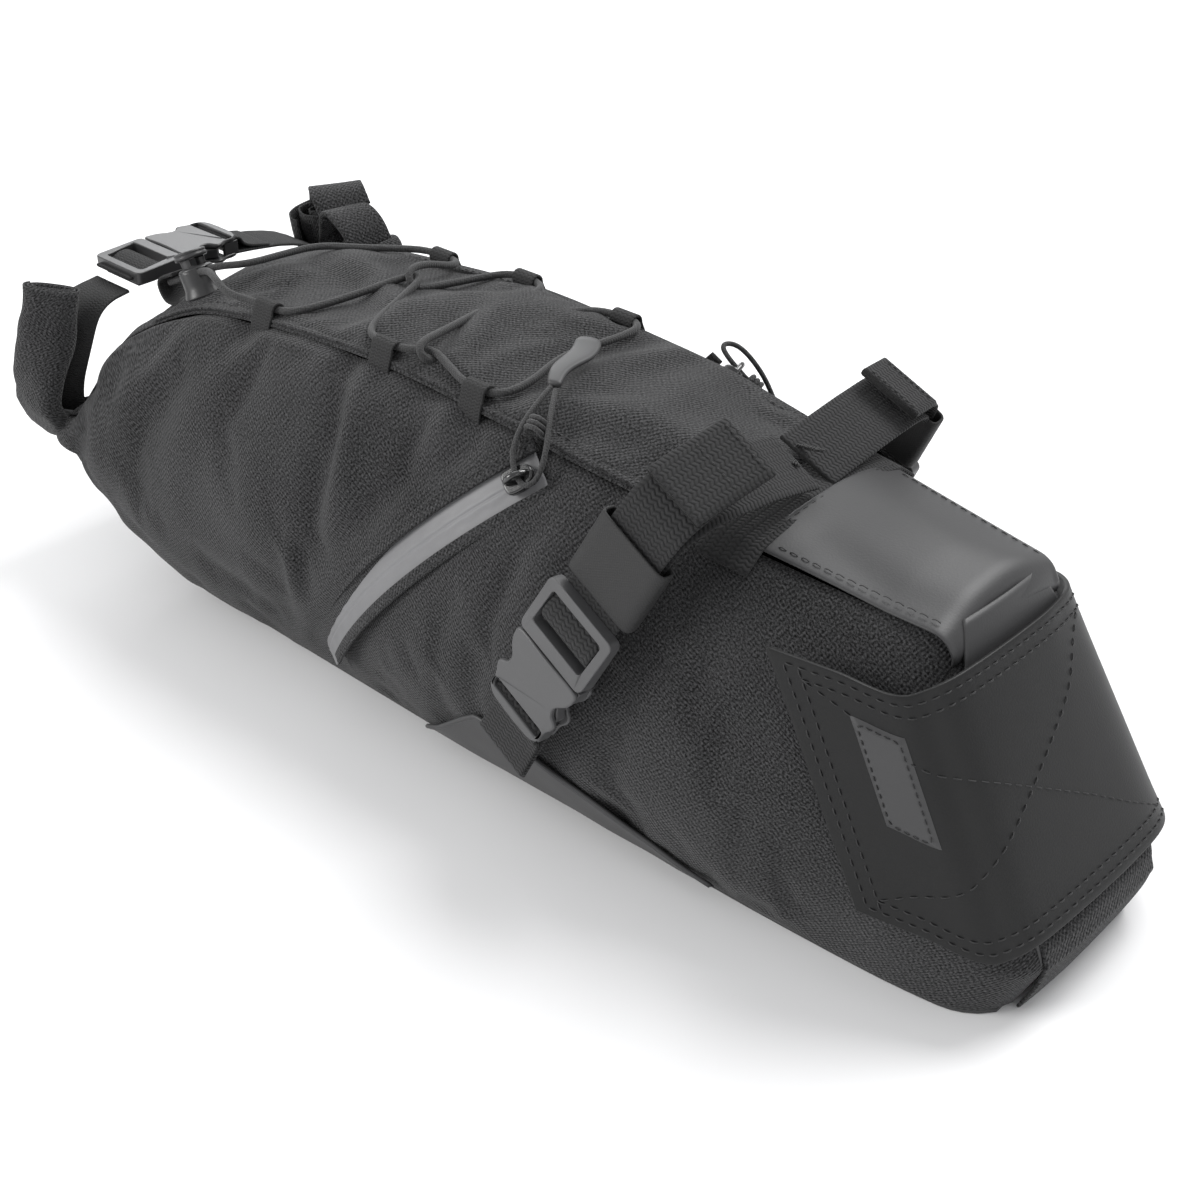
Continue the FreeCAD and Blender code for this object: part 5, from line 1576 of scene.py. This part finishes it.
def rollStraps():
    place = frameAt((-238, -20, 129), (0, -1, 0), (0, 0, 1))
    buckle("roll_buckle_set", place, "bag", "roll_buckle", darkPlastic, "roll_buckle_female",
           "roll_buckle_male")
    loop = [(22, -3.4), (9.6, -3.3), (8.8, 0), (9.8, 2.9), (15, 2.8), (20, 0.2), (26.5, 0.4)]
    strap("roll_loop_web", localRoute(place, loop, 2), (1, 0, 0), 25, 1.4, fineWebbing, "roll_buckle",
          "roll_strap_loop")
    near = np.array([(-238.5, -47, 123.9), (-238.5, -58, 122.4), (-240, -67, 115.5), (-243, -74.5, 101),
                     (-247, -78.0, 86), (-249, -77.5, 72)])
    sides = np.array([(1, 0, 0), (1, 0.05, 0), (0.93, 0.36, 0), (0.74, 0.66, 0), (0.7, 0.7, 0),
                      (0.8, 0.6, 0)], float)
    both = softened(np.concatenate([near, sides], 1), 3)
    strap("roll_web_near", both[:, :3], both[:, 3:], 25, 1.4, fineWebbing, "bag",
          "roll_webbing_right", step=1.4, waviness=0.3)
    far = [(-97, -42), (-91, -24), (-66, -8.4)] + barLoop + [(-48, -4.8)]
    strap("roll_web_far", localRoute(place, far, 2), (1, 0, 0), 25, 1.4, fineWebbing, "bag",
          "roll_webbing_left", step=1.3, waviness=0.3)


rollStraps()
print("roll made")


# Folded loops that hold the shock cord
loopXs = {right: (-134, -62, -13), left: (-121, -71, -17)}


def cordLoops():
    for side in (right, left):
        for number, x in enumerate(loopXs[side], start=1):
            seam = float(column(float(x), 5))
            level = float(topPoint(float(x), 41.0))
            eye = np.array((41.0, level + 3.9))
            angles = np.linspace(-0.25, math.pi + 0.55, 9)
            turns = [eye + 2.9 * np.array((math.cos(a), math.sin(a))) for a in angles]
            foot = [(seam + 1.8, level - 11.5), (seam + 1.4, level - 5.0), (seam + 0.6, level - 0.6)]
            back = [(38.9, level + 1.3), (41.4, level + 0.9), (seam - 0.4, level + 0.2)]
            route = softened(np.array(foot + [tuple(p) for p in turns] + back), 2)
            route = np.stack([np.full(len(route), float(x)), side * route[:, 0], route[:, 1]], 1)
            word = "%s_%d" % (words[side], number)
            strap("loop_web_" + word, route, (1, 0.0, 0), 11.5, 1.1, fineWebbing, "bag",
                  "cord_loop_" + word, step=0.9, waviness=0.12)


cordLoops()


# Cord lock: a turned barrel with a sprung plunger, on a folded tab
lockPlace = frameAt((-185, -36, 130.0), (0.9, 0, 0.436), (-0.436, 0, 0.9))


def turned(name, profile, place, material, body, slot, stands=(), sides=40, hole=None):
    work = bmesh.new()
    corners = [work.verts.new((r, 0, z)) for r, z in profile]
    edges = [work.edges.new(pair) for pair in zip(corners, corners[1:])]
    bmesh.ops.spin(work, geom=corners + edges, cent=(0, 0, 0), axis=(0, 0, 1), angle=math.tau, steps=sides,
                   use_merge=True)
    bmesh.ops.remove_doubles(work, verts=work.verts[:], dist=0.001)
    bmesh.ops.recalc_face_normals(work, faces=work.faces[:])
    if hole:
        width, low, high = hole
        middles = {face: face.calc_center_median() for face in work.faces}
        gone = [face for face, spot in middles.items()
                if low < spot.z < high and abs(spot.y) < width and math.hypot(spot.x, spot.y) > 5.0]
        bmesh.ops.delete(work, geom=gone, context="FACES")
    mesh = bpy.data.meshes.new(name)
    work.to_mesh(mesh)
    work.free()
    mesh.transform(Matrix.Scale(0.001, 4) @ place)
    mesh.materials.append(material)
    mesh.polygons.foreach_set("use_smooth", [True] * len(mesh.polygons))
    piece = bpy.data.objects.new(name, mesh)
    scene.collection.objects.link(piece)
    addModifier(piece, "BEVEL", width=0.0005, segments=3, limit_method="ANGLE", angle_limit=0.5,
                harden_normals=True)
    attach(piece, body, stands)
    return piece


def cordLock():
    barrel = [(5.6, 2.0), (5.6, 13.0), (6.5, 13.0), (7.4, 12.2), (7.4, 11.9), (7.4, 10.6), (7.4, 9.4),
              (7.4, 8.1), (7.4, 6.0), (7.5, 4.0), (8.4, 1.6), (8.6, 0.6), (8.3, 0.0), (0.0, 0.0), (0.0, 2.0),
              (5.6, 2.0)]
    turned("lock_barrel", barrel, lockPlace, darkPlastic, "bag", "moulded_plastic", "cord_lock_body",
           hole=(3.4, 8.1, 11.9))
    cap = [(0, 7.4), (5.2, 7.4), (5.2, 16.4), (6.6, 16.5), (7.1, 17.2), (7.1, 17.9), (6.5, 18.4), (6.9, 18.9),
           (6.7, 19.5), (5.6, 19.9), (4.9, 19.4), (4.4, 19.1), (0, 19.1)]
    turned("lock_plunger", cap, lockPlace, darkPlastic, "cord_lock_button", "moulded_plastic",
           "cord_lock_plunger", hole=(3.4, 8.1, 11.9))
    fold = [(-9.5, 0.4), (-18, 1.2), (-23.4, 4), (-23.8, 11.6), (-19, 13.4), (-9.5, 12.8)]
    strap("lock_tab_web", localRoute(lockPlace, fold, 3), np.array(lockPlace.to_3x3().col[1]), 12.5, 1.5,
          fineWebbing, "bag", "cord_lock_tab", waviness=0.2)
    spring = {"radius": 3.5, "foot": 2.35, "tall": 4.4, "turns": 3, "wire": 0.25, "pressed": 0.34}
    angles = np.linspace(0, spring["turns"] * math.tau, 24 * spring["turns"])
    coil = np.stack([spring["radius"] * np.cos(angles), spring["radius"] * np.sin(angles),
                     spring["foot"] + spring["tall"] * angles / angles[-1]], 1)
    piece = tubeMesh("lock_spring", carried(lockPlace, coil), spring["wire"], steel, "bag",
                     "cord_lock_spring", sides=6)
    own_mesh(piece)


cordLock()
print("loops and lock made")


def floorPiece():
    # A plain pale floor, just under the bag.
    ys = np.linspace(-6000, 6000, 9)
    grid = np.array([[(x, y, -0.4) for y in ys] for x in np.linspace(-6000, 6000, 9)])
    floor = addMesh("floor", grid.reshape(-1, 3), gridFaces(9, 9), floorSkin, None)
    fixNormals(floor)


floorPiece()
